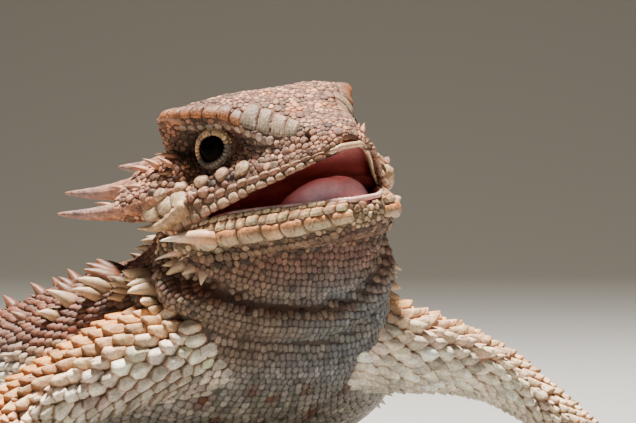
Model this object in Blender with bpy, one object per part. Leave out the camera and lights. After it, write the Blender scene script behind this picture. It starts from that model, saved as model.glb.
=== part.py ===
# A horned lizard, life size, standing with its head turned up and its mouth open.
# It has a flat round body, a short tail, four splayed legs and a crown of ten horns.
#
# Sizes are in millimetres, and make_object() turns them into metres.
# +Z is up, the nose points to -Y and the animal's right side is at -X.
# The head has its own directions: f forward, r to the animal's right, u up,
# measured from the point midway between the two jaw joints.

import math

import bmesh
import bpy
import numpy as np
from mathutils import Matrix, Vector

METRES = 0.001
SHARP_ANGLE = math.radians(40)
GAP = 0.3
CHANCE_SEED = 7
SPINE_SIDES = 5
SPINE_WAIST = 0.58
LONG_SPINE = 2.3

# Pose of the head
JAW_JOINT = np.array([0.0, -23.5, 31.5])
HEAD_TURN = math.radians(2.5)
HEAD_LIFT = math.radians(5.6)
HEAD_LEAN = math.radians(8.8)
GAPE = math.radians(12.9)

# Head sizes
SKULL_BACK = -3.0
SKULL_FLOOR = 0.9
JAW_FLOOR = -3.3
THROAT_TOP = JAW_FLOOR - GAP
EYE_PLACE = (5.7, 7.8, 7.9)
EYE_RADIUS = 2.2
EYE_OUT = (0.34, 1.0, -0.05)
LID_RADIUS = 1.95
LID_REACH = 1.55
LID_THICKNESS = 0.6
# Spines on the head: root, tip and radius, on the skull and on the lower jaw
HEAD_SPINES = (
    ((4.2, 10.0, 12.0), (2.0, 12.2, 13.0), 1.2),
    ((2.2, 11.4, 6.6), (1.2, 13.8, 7.2), 0.7),
)
JAW_SPINES = (
    ((4.6, 11.2, -0.8), (1.2, 15.4, -0.4), 1.15),
    ((1.4, 12.0, -1.6), (-1.8, 15.0, -1.8), 0.9),
)
SHIELDS_PER_SIDE = 7
SHIELD_SIZE = (1.3, 0.9, 1.2)
# Round scutes on the head, in front of the eye and on the cheek: place and radius
HEAD_SCUTES = (
    ((10.2, 7.2, 7.8), 0.9),
    ((11.9, 6.0, 6.6), 0.9),
    ((4.0, 11.7, 4.6), 1.0),
)
NOSTRIL_PLACE = (16.9, 3.2, 4.3)
NOSTRIL_RADIUS = 0.55
EAR_PLACE = (-0.6, 13.4, 3.4)
EAR_RADIUS = 1.15

# Trunk, from the tail's tip to the neck. Each row is one section of the body:
# sideways shift, place along Y, height of its middle, tilt of its plane in degrees,
# half its width, and how far it reaches above and below its middle.
TRUNK = (
    (7.0, 81.0, 1.1, 0, 0.7, 0.9, 1.4),
    (4.2, 72.0, 1.7, 0, 2.0, 1.7, 2.0),
    (1.9, 61.0, 2.6, 0, 3.6, 2.7, 2.9),
    (0.5, 50.0, 3.8, 1, 6.0, 3.9, 4.1),
    (0.0, 41.0, 5.4, 2, 9.0, 5.2, 5.7),
    (0.0, 32.0, 7.4, 4, 13.5, 7.4, 7.7),
    (0.0, 22.0, 9.4, 6, 20.5, 9.6, 9.7),
    (0.0, 11.0, 11.4, 8, 25.6, 11.4, 11.2),
    (0.0, 0.0, 13.2, 11, 27.0, 12.4, 10.6),
    (0.0, -10.0, 15.6, 16, 24.0, 12.6, 9.8),
    (0.0, -17.0, 18.4, 26, 19.2, 12.4, 9.6),
    (0.0, -21.0, 21.8, 38, 15.8, 12.6, 9.2),
    (0.0, -22.8, 26.0, 50, 14.0, 12.2, 9.4),
    (0.0, -24.0, 31.0, 57, 12.4, 10.4, 10.4),
    (0.0, -26.0, 36.0, 62, 9.6, 6.0, 9.0),
)
# Rows of spines on the trunk, each on both sides: Y of the first and the last, how many,
# the angle round the section of the first and the last (0 at the flank's edge and 90 along
# the middle of the back), their lengths, and the radius of their roots
TORSO_SPINES = (
    (-9.5, 15.0, 13, -6, -8, 2.8, 2.4, 0.75),
    (-7.0, 15.5, 5, 28, 31, 1.9, 1.8, 0.95),
    (-10.0, 27.0, 7, 46, 54, 2.2, 1.9, 1.05),
    (-9.0, 32.0, 8, 63, 66, 2.4, 1.8, 1.1),
    (-11.0, 33.0, 7, 81, 80, 2.2, 1.6, 1.0),
)
TAIL_SPINES = (
    (45.0, 71.0, 9, -8, -4, 1.8, 0.8, 0.6),
    (46.0, 68.0, 6, 55, 50, 1.5, 0.8, 0.6),
)
NECK_SPINES = (
    (-19.8, -21.2, 3, 27, 21, 2.8, 3.2, 0.8),
    (-19.0, -20.6, 2, 17, 14, 2.6, 3.0, 0.8),
    (-22.2, -23.0, 2, 13, 5, 2.6, 3.0, 0.75),
    (-19.0, -21.0, 2, 45, 42, 2.2, 2.0, 0.85),
    (-19.0, -21.0, 2, 72, 70, 1.8, 1.6, 0.85),
)
TAIL_ENDS_AT = 41.0
TORSO_ENDS_AT = -15.5
TOP_ROUNDNESS = 2.1
BELLY_ROUNDNESS = 2.5

# Limbs: their joints, and half the width and half the thickness at each named place
ARM_RIGHT = {
    "root": (-9.0, -19.6, 18.0),
    "shoulder": (-15.5, -20.4, 16.6),
    "elbow": (-30.2, -18.5, 9.4),
    "wrist": (-37.4, -30.4, 3.6),
    "palm": (-39.2, -34.4, 1.5),
    "knuckles": (-40.2, -37.0, 0.9),
}
ARM_LEFT = {
    "root": (9.0, -19.6, 18.2),
    "shoulder": (15.5, -20.4, 17.2),
    "elbow": (31.6, -19.6, 13.4),
    "wrist": (42.6, -28.0, 3.9),
    "palm": (46.2, -31.0, 1.5),
    "knuckles": (48.4, -32.8, 0.9),
}
ARM_WIDTH = {"root": 7.0, "shoulder": 5.6, "elbow": 3.5, "wrist": 2.2, "palm": 3.2, "knuckles": 2.6}
ARM_THICK = {"root": 6.0, "shoulder": 5.0, "elbow": 3.1, "wrist": 2.0, "palm": 1.6, "knuckles": 1.1}
LEG_RIGHT = {
    "root": (-4.0, 33.5, 7.4),
    "shoulder": (-10.0, 31.0, 7.6),
    "elbow": (-26.5, 23.5, 6.8),
    "wrist": (-36.0, 36.5, 3.2),
    "palm": (-40.6, 36.4, 1.5),
    "knuckles": (-43.6, 34.6, 0.9),
}
LEG_WIDTH = {"root": 6.4, "shoulder": 6.2, "elbow": 3.9, "wrist": 2.3, "palm": 3.0, "knuckles": 2.7}
LEG_THICK = {"root": 5.2, "shoulder": 5.0, "elbow": 3.7, "wrist": 2.2, "palm": 1.7, "knuckles": 1.1}
FINGER_LENGTHS = (4.6, 6.2, 7.0, 6.6, 4.8)
FINGER_FAN = (-64, -32, -4, 24, 56)
TOE_LENGTHS = (4.2, 6.0, 8.2, 10.0, 6.4)
TOE_FAN = (-60, -36, -12, 14, 52)
LIMB_SIDES = 12
# Rows of spines along the limbs: where the first and the last stand as a share of the
# stretch's length, how many, the angle round the limb with 90 on top, length and radius
UPPER_ARM_SPINES = ((0.48, 0.86, 4, 150, 1.7, 0.7), (0.5, 0.84, 3, 75, 1.5, 0.7))
FOREARM_SPINES = ((0.3, 0.8, 3, 150, 1.3, 0.55),)
THIGH_SPINES = ((0.62, 0.86, 3, 165, 1.8, 0.7), (0.6, 0.84, 2, 80, 1.5, 0.7))
LIMB_SPINES = {"arm": (UPPER_ARM_SPINES, FOREARM_SPINES), "leg": (THIGH_SPINES,)}
DIGIT_RADIUS = 1.0
CLAW_TIP = 0.12

# Horns of the right side, from the inner one at the nape to the one at the jaw corner:
# where each is rooted, where its tip is, half its width and half its thickness
HORNS = {
    "horn_occipital_inner": ((-2.2, 2.2, 10.2), (-10.4, 3.4, 12.4), 1.9, 1.5),
    "horn_occipital_outer": ((-1.8, 6.4, 9.8), (-14.0, 9.8, 12.8), 2.1, 1.7),
    "horn_temporal_rear": ((-0.8, 10.2, 7.4), (-14.8, 16.8, 11.0), 2.1, 1.7),
    "horn_temporal_middle": ((1.0, 11.9, 4.6), (-8.6, 21.5, 7.2), 2.0, 1.6),
    "horn_temporal_front": ((3.5, 12.5, 2.4), (-1.2, 16.8, 2.6), 1.4, 1.0),
}

COLOURS = {
    "head": (0.52, 0.33, 0.24, 0.75),
    "lower_jaw": (0.72, 0.52, 0.36, 0.7),
    "tongue": (0.72, 0.36, 0.36, 0.3),
    "eye": (0.012, 0.01, 0.009, 0.06),
    "horn": (0.6, 0.42, 0.3, 0.5),
    "neck": (0.5, 0.36, 0.26, 0.75),
    "torso": (0.62, 0.47, 0.36, 0.75),
    "tail": (0.55, 0.4, 0.3, 0.75),
    "limb": (0.62, 0.45, 0.33, 0.75),
    "foot": (0.62, 0.48, 0.38, 0.7),
}


def glide(at, knots, values):
    """A smooth curve through the values at the knots: a cubic on each stretch, each slope the mean of its two chords'."""
    knots = np.asarray(knots, float)
    values = np.asarray(values, float)
    chords = np.diff(values) / np.diff(knots)
    slopes = np.concatenate([chords[:1], (chords[1:] + chords[:-1]) / 2, chords[-1:]])
    first = np.clip(np.searchsorted(knots, at, side="right") - 1, 0, len(knots) - 2)
    length = knots[first + 1] - knots[first]
    t = (at - knots[first]) / length
    start = (1 + 2 * t) * (1 - t) ** 2 * values[first]
    start += t * (1 - t) ** 2 * length * slopes[first]
    end = t * t * (3 - 2 * t) * values[first + 1]
    end += t * t * (t - 1) * length * slopes[first + 1]
    return start + end


def unit(vector):
    return np.asarray(vector, float) / np.linalg.norm(vector)


def head_axes():
    """The head's forward, right and up directions in the model's own axes."""
    ahead = np.array([-math.sin(HEAD_TURN), -math.cos(HEAD_TURN), 0.0])
    right = np.array([-math.cos(HEAD_TURN), math.sin(HEAD_TURN), 0.0])
    up = np.array([0.0, 0.0, 1.0])
    forward = math.cos(HEAD_LIFT) * ahead + math.sin(HEAD_LIFT) * up
    up = -math.sin(HEAD_LIFT) * ahead + math.cos(HEAD_LIFT) * up
    leaned_right = math.cos(HEAD_LEAN) * right - math.sin(HEAD_LEAN) * up
    leaned_up = math.sin(HEAD_LEAN) * right + math.cos(HEAD_LEAN) * up
    return np.array([forward, leaned_right, leaned_up])


HEAD_AXES = head_axes()


def from_jaw(points):
    """Points given by f, r, u of the lower jaw, in the model's axes."""
    return JAW_JOINT + np.asarray(points, float) @ HEAD_AXES


def from_skull(points):
    """Points given by f, r, u of the skull, which the gape turns up about the jaw joints."""
    points = np.asarray(points, float)
    f, r, u = points[..., 0], points[..., 1], points[..., 2]
    turned_f = f * math.cos(GAPE) - u * math.sin(GAPE)
    turned_u = f * math.sin(GAPE) + u * math.cos(GAPE)
    return from_jaw(np.stack([turned_f, r, turned_u], axis=-1))


def finish(name, base):
    """Gives an object its own material and smooth shading."""
    colour = COLOURS[base]
    material = bpy.data.materials.new(name)
    material.use_nodes = True
    shader = material.node_tree.nodes["Principled BSDF"]
    shader.inputs["Base Color"].default_value = (*colour[:3], 1.0)
    shader.inputs["Roughness"].default_value = colour[3]
    shader.inputs["Metallic"].default_value = 0.0
    item = bpy.data.objects[name]
    item.data.materials.clear()
    item.data.materials.append(material)
    item.data.shade_smooth()
    item.data.set_sharp_from_angle(angle=SHARP_ANGLE)


def volume(points, faces):
    """Six times the volume inside a closed surface, below zero where its faces point in."""
    total = 0.0
    for face in faces:
        fan = points[list(face)]
        total += np.linalg.det(np.stack([fan[:-2] * 0 + fan[0], fan[1:-1], fan[2:]], axis=1)).sum()
    return total


def make_object(name, points, faces):
    """A mesh object from points in millimetres, with its faces pointing out."""
    points = np.asarray(points, float)
    if volume(points - points.mean(axis=0), faces) < 0:
        faces = [face[::-1] for face in faces]
    mesh = bpy.data.meshes.new(name)
    mesh.from_pydata((points * METRES).tolist(), [], faces)
    item = bpy.data.objects.new(name, mesh)
    bpy.context.scene.collection.objects.link(item)
    return item


def tube_faces(rings, sides):
    """Quads round a stack of rings, with one face closing each end."""
    faces = []
    for ring in range(rings - 1):
        for side in range(sides):
            after = (side + 1) % sides
            low = ring * sides
            high = low + sides
            faces.append((low + side, low + after, high + after, high + side))
    faces.append(tuple(reversed(range(sides))))
    faces.append(tuple(range((rings - 1) * sides, rings * sides)))
    return faces


def make_tube(name, rings):
    """A closed solid through rings, an array of ring by side by three."""
    count, sides = rings.shape[:2]
    return make_object(name, rings.reshape(-1, 3), tube_faces(count, sides))


def trunk_knots():
    """The trunk's table, and how far along its middle line each row lies."""
    rows = np.array(TRUNK, float)
    steps = np.linalg.norm(np.diff(rows[:, :3], axis=0), axis=1)
    return rows, np.concatenate([[0.0], np.cumsum(steps)])


TRUNK_ROWS, TRUNK_KNOTS = trunk_knots()


def along_trunk(y):
    """How far along the trunk's middle line the section at this Y lies."""
    return float(np.interp(-y, -TRUNK_ROWS[:, 1], TRUNK_KNOTS))


def rounded(value, roundness):
    return np.sign(value) * np.abs(value) ** (2 / roundness)


def trunk_points(along, turn, swell=0.0):
    """Points on the trunk: at 'along' its middle line and at angle 'turn' round each section, 0 at the left side and a quarter turn at the back."""
    along = np.asarray(along, float)
    x, y, z, tilt, width, above, below = (
        glide(along, TRUNK_KNOTS, column) for column in TRUNK_ROWS.T
    )
    tilt = np.radians(tilt)
    over = np.sin(turn) >= 0
    side = (width + swell) * np.where(
        over, rounded(np.cos(turn), TOP_ROUNDNESS), rounded(np.cos(turn), BELLY_ROUNDNESS)
    )
    rise = np.where(
        over,
        (above + swell) * rounded(np.sin(turn), TOP_ROUNDNESS),
        (below + swell) * rounded(np.sin(turn), BELLY_ROUNDNESS),
    )
    return np.stack([x + side, y + rise * np.sin(tilt), z + rise * np.cos(tilt)], axis=-1)


def trunk_length(name, start, end, rings, sides, swell=0.0):
    """One length of the trunk as a closed solid."""
    along = np.linspace(start, end, rings)[:, None]
    turn = (np.arange(sides) / sides * 2 * math.pi)[None, :]
    return make_tube(name, trunk_points(along, turn, swell))


def spine(root, tip, radius, waist=True):
    """A five-sided spine as points and faces: a base ring, with a waist a narrower ring half way, and a tip."""
    root = np.asarray(root, float)
    tip = np.asarray(tip, float)
    ahead = unit(tip - root)
    side = np.cross(ahead, (0.0, 0.0, 1.0))
    if np.linalg.norm(side) < 0.1:
        side = np.cross(ahead, (1.0, 0.0, 0.0))
    side = unit(side)
    lift = np.cross(side, ahead)
    turn = (np.arange(SPINE_SIDES) / SPINE_SIDES * 2 * math.pi)[:, None]
    ring = np.cos(turn) * side + np.sin(turn) * lift
    rings = [root + radius * ring]
    if waist:
        rings.append((root + tip) / 2 + SPINE_WAIST * radius * ring)
    last = (len(rings) - 1) * SPINE_SIDES
    faces = tube_faces(len(rings), SPINE_SIDES)[:-1]
    for number in range(SPINE_SIDES):
        after = (number + 1) % SPINE_SIDES
        faces.append((last + number, last + after, last + SPINE_SIDES))
    return np.concatenate([*rings, [tip]]), faces


def on_trunk(y, turn):
    """A place on the trunk's skin, its outward direction and the direction towards the tail along the skin."""
    along = along_trunk(y)
    turn = math.radians(turn)
    place = trunk_points(along, turn)
    step = 0.4
    back = unit(trunk_points(along - step, turn) - trunk_points(along + step, turn))
    round_it = unit(trunk_points(along, turn + 0.03) - trunk_points(along, turn - 0.03))
    out = unit(np.cross(back, round_it))
    return place, out, back


def trunk_spines(row, chance):
    """One row of spines on the trunk, the same on both sides, each a little different."""
    first_y, last_y, count, first_turn, last_turn, first_length, last_length, radius = row
    pieces = []
    for share in np.linspace(0, 1, count):
        y = first_y + share * (last_y - first_y)
        turn = first_turn + share * (last_turn - first_turn)
        length = first_length + share * (last_length - first_length)
        for mirrored_turn in (turn, 180 - turn):
            jitter = chance.uniform(-1, 1, 3)
            place, out, back = on_trunk(y + 0.5 * jitter[0], mirrored_turn + 1.5 * jitter[1])
            size = length * (1 + 0.16 * jitter[2])
            foot = place - 0.9 * radius * out
            lean = unit(out + 0.7 * back)
            pieces.append(spine(foot, place + size * lean, radius, length > LONG_SPINE))
    return pieces


def keep_largest(item):
    """Leaves an object only its largest closed surface."""
    shape = bmesh.new()
    shape.from_mesh(item.data)
    left = set(shape.verts)
    groups = []
    while left:
        group = set()
        reached = [left.pop()]
        while reached:
            corner = reached.pop()
            group.add(corner)
            for edge in corner.link_edges:
                other = edge.other_vert(corner)
                if other in left:
                    left.discard(other)
                    reached.append(other)
        groups.append(group)
    sizes = []
    for group in groups:
        reach = np.array([corner.co for corner in group])
        sizes.append(np.prod(np.ptp(reach, axis=0)))
    kept = groups[int(np.argmax(sizes))]
    scraps = [corner for corner in shape.verts if corner not in kept]
    bmesh.ops.delete(shape, geom=scraps, context="VERTS")
    shape.to_mesh(item.data)
    shape.free()


def apply_modifiers(item):
    bpy.context.view_layer.update()
    graph = bpy.context.evaluated_depsgraph_get()
    result = bpy.data.meshes.new_from_object(item.evaluated_get(graph))
    item.modifiers.clear()
    item.data = result
    keep_largest(item)


def subtract(item, cutters, solver="EXACT"):
    """Cuts an object by closed meshes, one after the other, and removes them."""
    for cutter in cutters:
        step = item.modifiers.new("cut", "BOOLEAN")
        step.operation = "DIFFERENCE"
        step.solver = solver
        step.object = cutter
    apply_modifiers(item)
    for cutter in cutters:
        bpy.data.objects.remove(cutter)


def union(item, pieces):
    """Joins closed pieces, given as points and faces, to an object in one step."""
    group = bpy.data.collections.new("pieces")
    bpy.context.scene.collection.children.link(group)
    for number, (points, faces) in enumerate(pieces):
        piece = make_object(f"{item.name}_piece_{number}", points, faces)
        bpy.context.scene.collection.objects.unlink(piece)
        group.objects.link(piece)
    step = item.modifiers.new("join", "BOOLEAN")
    step.operation = "UNION"
    step.solver = "EXACT"
    step.operand_type = "COLLECTION"
    step.collection = group
    apply_modifiers(item)
    for piece in list(group.objects):
        bpy.data.objects.remove(piece)
    bpy.data.collections.remove(group)


def ball(centre, radii, across=12, rings=7, axes=np.eye(3)):
    """An ellipsoid as points and faces, with its axes given as rows."""
    rise = np.linspace(-math.pi / 2, math.pi / 2, rings + 2)[1:-1, None]
    turn = (np.arange(across) / across * 2 * math.pi)[None, :]
    shape = np.stack(
        [np.cos(rise) * np.cos(turn), np.cos(rise) * np.sin(turn), np.sin(rise) + 0 * turn],
        axis=-1,
    )
    points = centre + (shape.reshape(-1, 3) * radii) @ axes
    low = centre - radii[2] * axes[2]
    high = centre + radii[2] * axes[2]
    points = np.concatenate([points, [low, high]])
    faces = tube_faces(rings, across)[:-2]
    last = (rings - 1) * across
    for number in range(across):
        after = (number + 1) % across
        faces.append((rings * across, after, number))
        faces.append((rings * across + 1, last + number, last + after))
    return points, faces


def box(low, high, place=lambda points: points):
    """A box between two corners, as points and faces, carried by 'place'."""
    corners = np.array([[x, y, z] for x in (0, 1) for y in (0, 1) for z in (0, 1)])
    points = np.asarray(low) + corners * (np.asarray(high) - np.asarray(low))
    faces = [(0, 1, 3, 2), (4, 6, 7, 5), (0, 4, 5, 1), (2, 3, 7, 6), (0, 2, 6, 4), (1, 5, 7, 3)]
    return place(points.astype(float)), faces


def inflated(item, by):
    """A copy of a closed object, every face moved out."""
    shape = bmesh.new()
    shape.from_mesh(item.data)
    shape.normal_update()
    moves = [corner.normal * min(corner.calc_shell_factor(), 1.5) for corner in shape.verts]
    for corner, move in zip(shape.verts, moves):
        corner.co += move * by * METRES
    mesh = bpy.data.meshes.new("inflated")
    shape.to_mesh(mesh)
    shape.free()
    copy = bpy.data.objects.new("inflated", mesh)
    bpy.context.scene.collection.objects.link(copy)
    return copy


def cut_by(item, neighbour):
    """Cuts an object clear of a neighbour, with the gap between them."""
    subtract(item, [inflated(neighbour, GAP)])


def floor_box():
    return make_object("floor", *box((-90, -90, -20), (90, 110, 0)))


# Head. Each row is one section of the skull at f: the height of its top, then r and u of
# the crown's edge, the brow, the socket under it, the cheek and the lip.
SKULL = (
    (-3.0, 11.4, 6.2, 11.2, 8.9, 9.6, 9.3, 6.8, 12.0, 3.5, 12.3, 0.9),
    (-1.0, 12.5, 6.9, 12.4, 10.4, 11.0, 9.4, 7.4, 13.0, 3.8, 13.1, 0.9),
    (1.5, 13.4, 7.2, 13.5, 11.8, 12.7, 9.0, 8.4, 13.0, 4.2, 13.3, 0.9),
    (3.6, 13.6, 6.9, 13.7, 11.6, 12.7, 8.0, 8.6, 11.9, 4.0, 12.4, 0.9),
    (6.0, 13.3, 6.2, 13.3, 10.3, 11.7, 6.8, 7.8, 10.2, 3.9, 10.9, 1.1),
    (8.5, 12.5, 5.3, 12.4, 8.5, 10.5, 6.2, 7.3, 8.6, 3.8, 9.3, 1.3),
    (10.8, 11.1, 4.5, 10.8, 6.7, 8.3, 5.8, 6.0, 7.2, 3.5, 7.9, 1.4),
    (13.0, 9.1, 3.5, 8.7, 5.0, 6.2, 5.1, 4.6, 6.0, 3.1, 6.6, 1.4),
    (15.3, 7.1, 2.7, 6.7, 3.9, 5.1, 4.2, 3.9, 4.7, 2.8, 5.2, 1.5),
    (17.2, 5.7, 2.0, 5.4, 2.9, 4.4, 3.2, 3.5, 3.6, 2.6, 3.9, 1.6),
    (18.6, 4.6, 1.2, 4.4, 1.8, 3.9, 2.1, 3.2, 2.4, 2.5, 2.5, 1.7),
    (19.4, 3.6, 0.5, 3.5, 0.7, 3.2, 0.8, 2.9, 0.9, 2.4, 1.0, 1.9),
)
LIP_WIDTH = 1.0
PALATE_FROM = 2.0
PALATE_DEPTH = 1.9


def skull_sections(forward, samples=3):
    """The skull's sections at these f, as f, r, u: down the right side from the crown, over the lip to the palate, and back up the left."""
    table = np.array(SKULL).T
    top, crown_r, crown_u, brow_r, brow_u, socket_r, socket_u, cheek_r, cheek_u, lip_r, lip_u = (
        glide(forward, table[0], column) for column in table[1:]
    )
    opened = np.clip((forward - PALATE_FROM) / 3, 0, 1)
    narrow = np.clip(lip_r / 4, 0.15, 1)
    inner_r = lip_r - LIP_WIDTH * narrow
    palate_r = lip_r - 1.9 * LIP_WIDTH * narrow
    palate_u = lip_u + (0.2 + PALATE_DEPTH * 0.55 * narrow) * opened
    knots = [
        (0 * top, top),
        (crown_r, crown_u),
        (brow_r, brow_u),
        (socket_r, socket_u),
        (cheek_r, cheek_u),
        (lip_r, lip_u),
        (inner_r, lip_u + 0.12 * opened),
        (palate_r, palate_u),
        (0 * top, lip_u + PALATE_DEPTH * narrow * opened),
    ]
    knots = np.array(knots)
    steps = np.arange(len(knots), dtype=float)
    at = np.unique(np.concatenate([steps, np.linspace(0, 5, 5 * samples + 1)]))
    right = np.stack([
        np.stack([glide(at, steps, knots[:, axis, i]) for axis in (0, 1)], axis=-1)
        for i in range(len(forward))
    ])
    left = right[:, -2:0:-1] * (-1, 1)
    ring = np.concatenate([right, left], axis=1)
    f = np.broadcast_to(forward[:, None, None], ring.shape[:2] + (1,))
    return np.concatenate([f, ring], axis=-1)


def make_skull(name, rings=23, samples=3):
    knots = np.array([row[0] for row in SKULL])
    forward = glide(np.linspace(0, len(knots) - 1, rings), np.arange(len(knots)), knots)
    forward[0] = SKULL_BACK + GAP
    return make_tube(name, from_skull(skull_sections(forward, samples)))


# Lower jaw. Each row is one section at f: r and u of the rim, of the ledge that carries
# the chin shields, and of its lower edge, then the height of the mouth's floor.
JAW = (
    (-3.0, 11.6, -0.1, 12.4, -1.3, 10.8, -3.3, -0.1),
    (0.0, 12.4, 0.5, 13.2, -1.0, 11.3, -3.3, 0.4),
    (2.8, 12.2, 1.0, 13.0, -0.9, 10.7, -3.3, 0.2),
    (6.0, 10.2, 1.4, 11.2, -0.9, 8.7, -3.3, -0.9),
    (10.0, 7.9, 1.3, 8.9, -0.9, 6.5, -3.3, -1.2),
    (13.5, 6.0, 1.05, 7.0, -1.0, 4.7, -3.3, -1.2),
    (16.3, 4.4, 0.9, 5.3, -1.0, 3.4, -3.2, -1.1),
    (18.3, 2.9, 0.7, 3.6, -1.0, 2.1, -2.9, -0.9),
    (19.6, 1.4, 0.5, 1.9, -1.0, 0.9, -2.5, -0.5),
    (20.1, 0.4, 0.3, 0.7, -1.0, 0.3, -1.9, -0.5),
)
RIM_WIDTH = 1.0


def jaw_sections(forward, samples=2):
    """The lower jaw's sections at these f, as f, r, u: from the floor of the mouth over the right rim, down its ledge and under."""
    table = np.array(JAW).T
    rim_r, rim_u, ledge_r, ledge_u, edge_r, edge_u, floor_u = (
        glide(forward, table[0], column) for column in table[1:]
    )
    narrow = np.clip(rim_r / 4, 0.15, 1)
    knots = np.array([
        (0 * rim_r, floor_u),
        (rim_r - 2.0 * RIM_WIDTH * narrow, floor_u + 0.25 * (rim_u - floor_u)),
        (rim_r - RIM_WIDTH * narrow, rim_u - 0.1 * narrow),
        (rim_r, rim_u),
        (ledge_r, ledge_u),
        (edge_r, edge_u),
        (0 * rim_r, edge_u),
    ])
    steps = np.arange(len(knots), dtype=float)
    at = np.unique(np.concatenate([steps, np.linspace(2, 5, 3 * samples + 1)]))
    right = np.stack([
        np.stack([glide(at, steps, knots[:, axis, i]) for axis in (0, 1)], axis=-1)
        for i in range(len(forward))
    ])
    right[:, :, 1] = np.maximum(right[:, :, 1], edge_u[:, None])
    left = right[:, -2:0:-1] * (-1, 1)
    ring = np.concatenate([right, left], axis=1)
    f = np.broadcast_to(forward[:, None, None], ring.shape[:2] + (1,))
    return np.concatenate([f, ring], axis=-1)


def make_jaw(name, rings=17, samples=2):
    knots = np.array([row[0] for row in JAW])
    forward = glide(np.linspace(0, len(knots) - 1, rings), np.arange(len(knots)), knots)
    forward[0] = SKULL_BACK + GAP
    return make_tube(name, from_jaw(jaw_sections(forward, samples)))


def make_tongue(name):
    """A low dome on the floor of the mouth, wider behind and round in front."""
    back, front, middle = 5.0, 17.0, 11.0
    rings = 9
    turn = np.linspace(0.12, math.pi - 0.12, rings)
    forward = middle - (front - back) / 2 * np.cos(turn)
    width = 4.6 * np.sin(turn) ** 0.6 * glide(forward, (back, middle, front), (1.15, 1.0, 0.72))
    height = 3.6 * np.sin(turn) ** 0.5 * glide(forward, (back, middle, front), (0.7, 1.0, 1.05))
    base = -1.2 + 4 * GAP
    round_it = (np.arange(16) / 16 * 2 * math.pi)[None, :]
    side = width[:, None] * np.cos(round_it)
    rise = base + height[:, None] * np.maximum(np.sin(round_it), 0.0)
    rise = rise + 0.0 * side
    low = np.sin(round_it) < 0
    side = np.where(low, side * 0.98, side)
    rise = np.where(low, base - 0.15 * np.abs(np.sin(round_it)), rise)
    f = np.broadcast_to(forward[:, None], side.shape)
    return make_tube(name, from_jaw(np.stack([f, side, rise], axis=-1)))


def make_horn(name, root, tip, wide, thick, mirror):
    """A flattened, slightly curved horn that narrows evenly to its tip."""
    root = np.array(root)
    tip = np.array(tip)
    count, sides = 7, 8
    t = np.linspace(0, 1, count)[:, None]
    bow = 0.8 * np.sin(math.pi * t) * np.array([0.0, 0.25, -1.0])
    middle = root + (tip - root) * t + bow
    ahead = unit(tip - root)
    side = unit(np.cross(ahead, (0.0, 0.0, 1.0)))
    lift = np.cross(side, ahead)
    taper = (1 - t) ** 0.75 * 0.94 + 0.06
    turn = (np.arange(sides) / sides * 2 * math.pi)[None, :, None]
    ring = wide * np.cos(turn) * side + thick * np.sin(turn) * lift
    rings = middle[:, None, :] + taper[:, :, None] * ring
    rings[..., 1] *= mirror
    return make_tube(name, from_skull(rings))


def limb_lengths(joints):
    """How far along the limb's middle line each named place lies."""
    places = np.array(list(joints.values()), float)
    steps = np.linalg.norm(np.diff(places, axis=0), axis=1)
    return places, np.concatenate([[0.0], np.cumsum(steps)])


def limb_frames(joints, at):
    """Points of the limb's middle line at these lengths, with its direction, its side and its upper side there."""
    places, lengths = limb_lengths(joints)
    nearby = 0.05
    middle, after, before = (
        np.stack([glide(at + step, lengths, places[:, axis]) for axis in range(3)], axis=-1)
        for step in (0.0, nearby, -nearby)
    )
    ahead = (after - before) / np.linalg.norm(after - before, axis=1, keepdims=True)
    side = np.cross(ahead, (0.0, 0.0, 1.0))
    side /= np.linalg.norm(side, axis=1, keepdims=True)
    return middle, ahead, side, np.cross(side, ahead)


def limb_rings(joints, width, thick, start, end, count, swell=0.0):
    """Rings across a limb between two of its places, square to its middle line, half a gap short of each."""
    lengths = dict(zip(joints, limb_lengths(joints)[1]))
    knots = list(lengths.values())
    at = np.linspace(lengths[start], lengths[end], count)
    middle, ahead, side, lift = limb_frames(joints, at)
    half_width = glide(at, knots, list(width.values())) + swell
    half_thick = glide(at, knots, list(thick.values())) + swell
    middle[0] += (GAP / 2 - swell) * ahead[0]
    middle[-1] -= (GAP / 2 - swell) * ahead[-1]
    turn = np.arange(LIMB_SIDES) / LIMB_SIDES * 2 * math.pi
    across = half_width[:, None, None] * np.cos(turn)[None, :, None] * side[:, None, :]
    rise = half_thick[:, None, None] * np.sin(turn)[None, :, None] * lift[:, None, :]
    return middle[:, None, :] + across + rise


def limb_spines(joints, width, thick, start, end, row, mirror):
    """One row of spines along a limb between two shares of its length from 'start' to 'end'."""
    lengths = dict(zip(joints, limb_lengths(joints)[1]))
    knots = list(lengths.values())
    first, last, count, turn, length, radius = row
    reach = lengths[end] - lengths[start]
    at = lengths[start] + reach * np.linspace(first, last, count)
    middle, ahead, side, lift = limb_frames(joints, at)
    turn = math.radians(turn)
    out = mirror * math.cos(turn) * side + math.sin(turn) * lift
    half = np.hypot(
        glide(at, knots, list(width.values())) * math.cos(turn),
        glide(at, knots, list(thick.values())) * math.sin(turn),
    )
    pieces = []
    for number in range(count):
        foot = middle[number] + (half[number] - radius) * out[number]
        lean = unit(out[number] + 0.75 * ahead[number])
        pieces.append(spine(foot, foot + (radius + length) * lean, radius, False))
    return pieces


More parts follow.
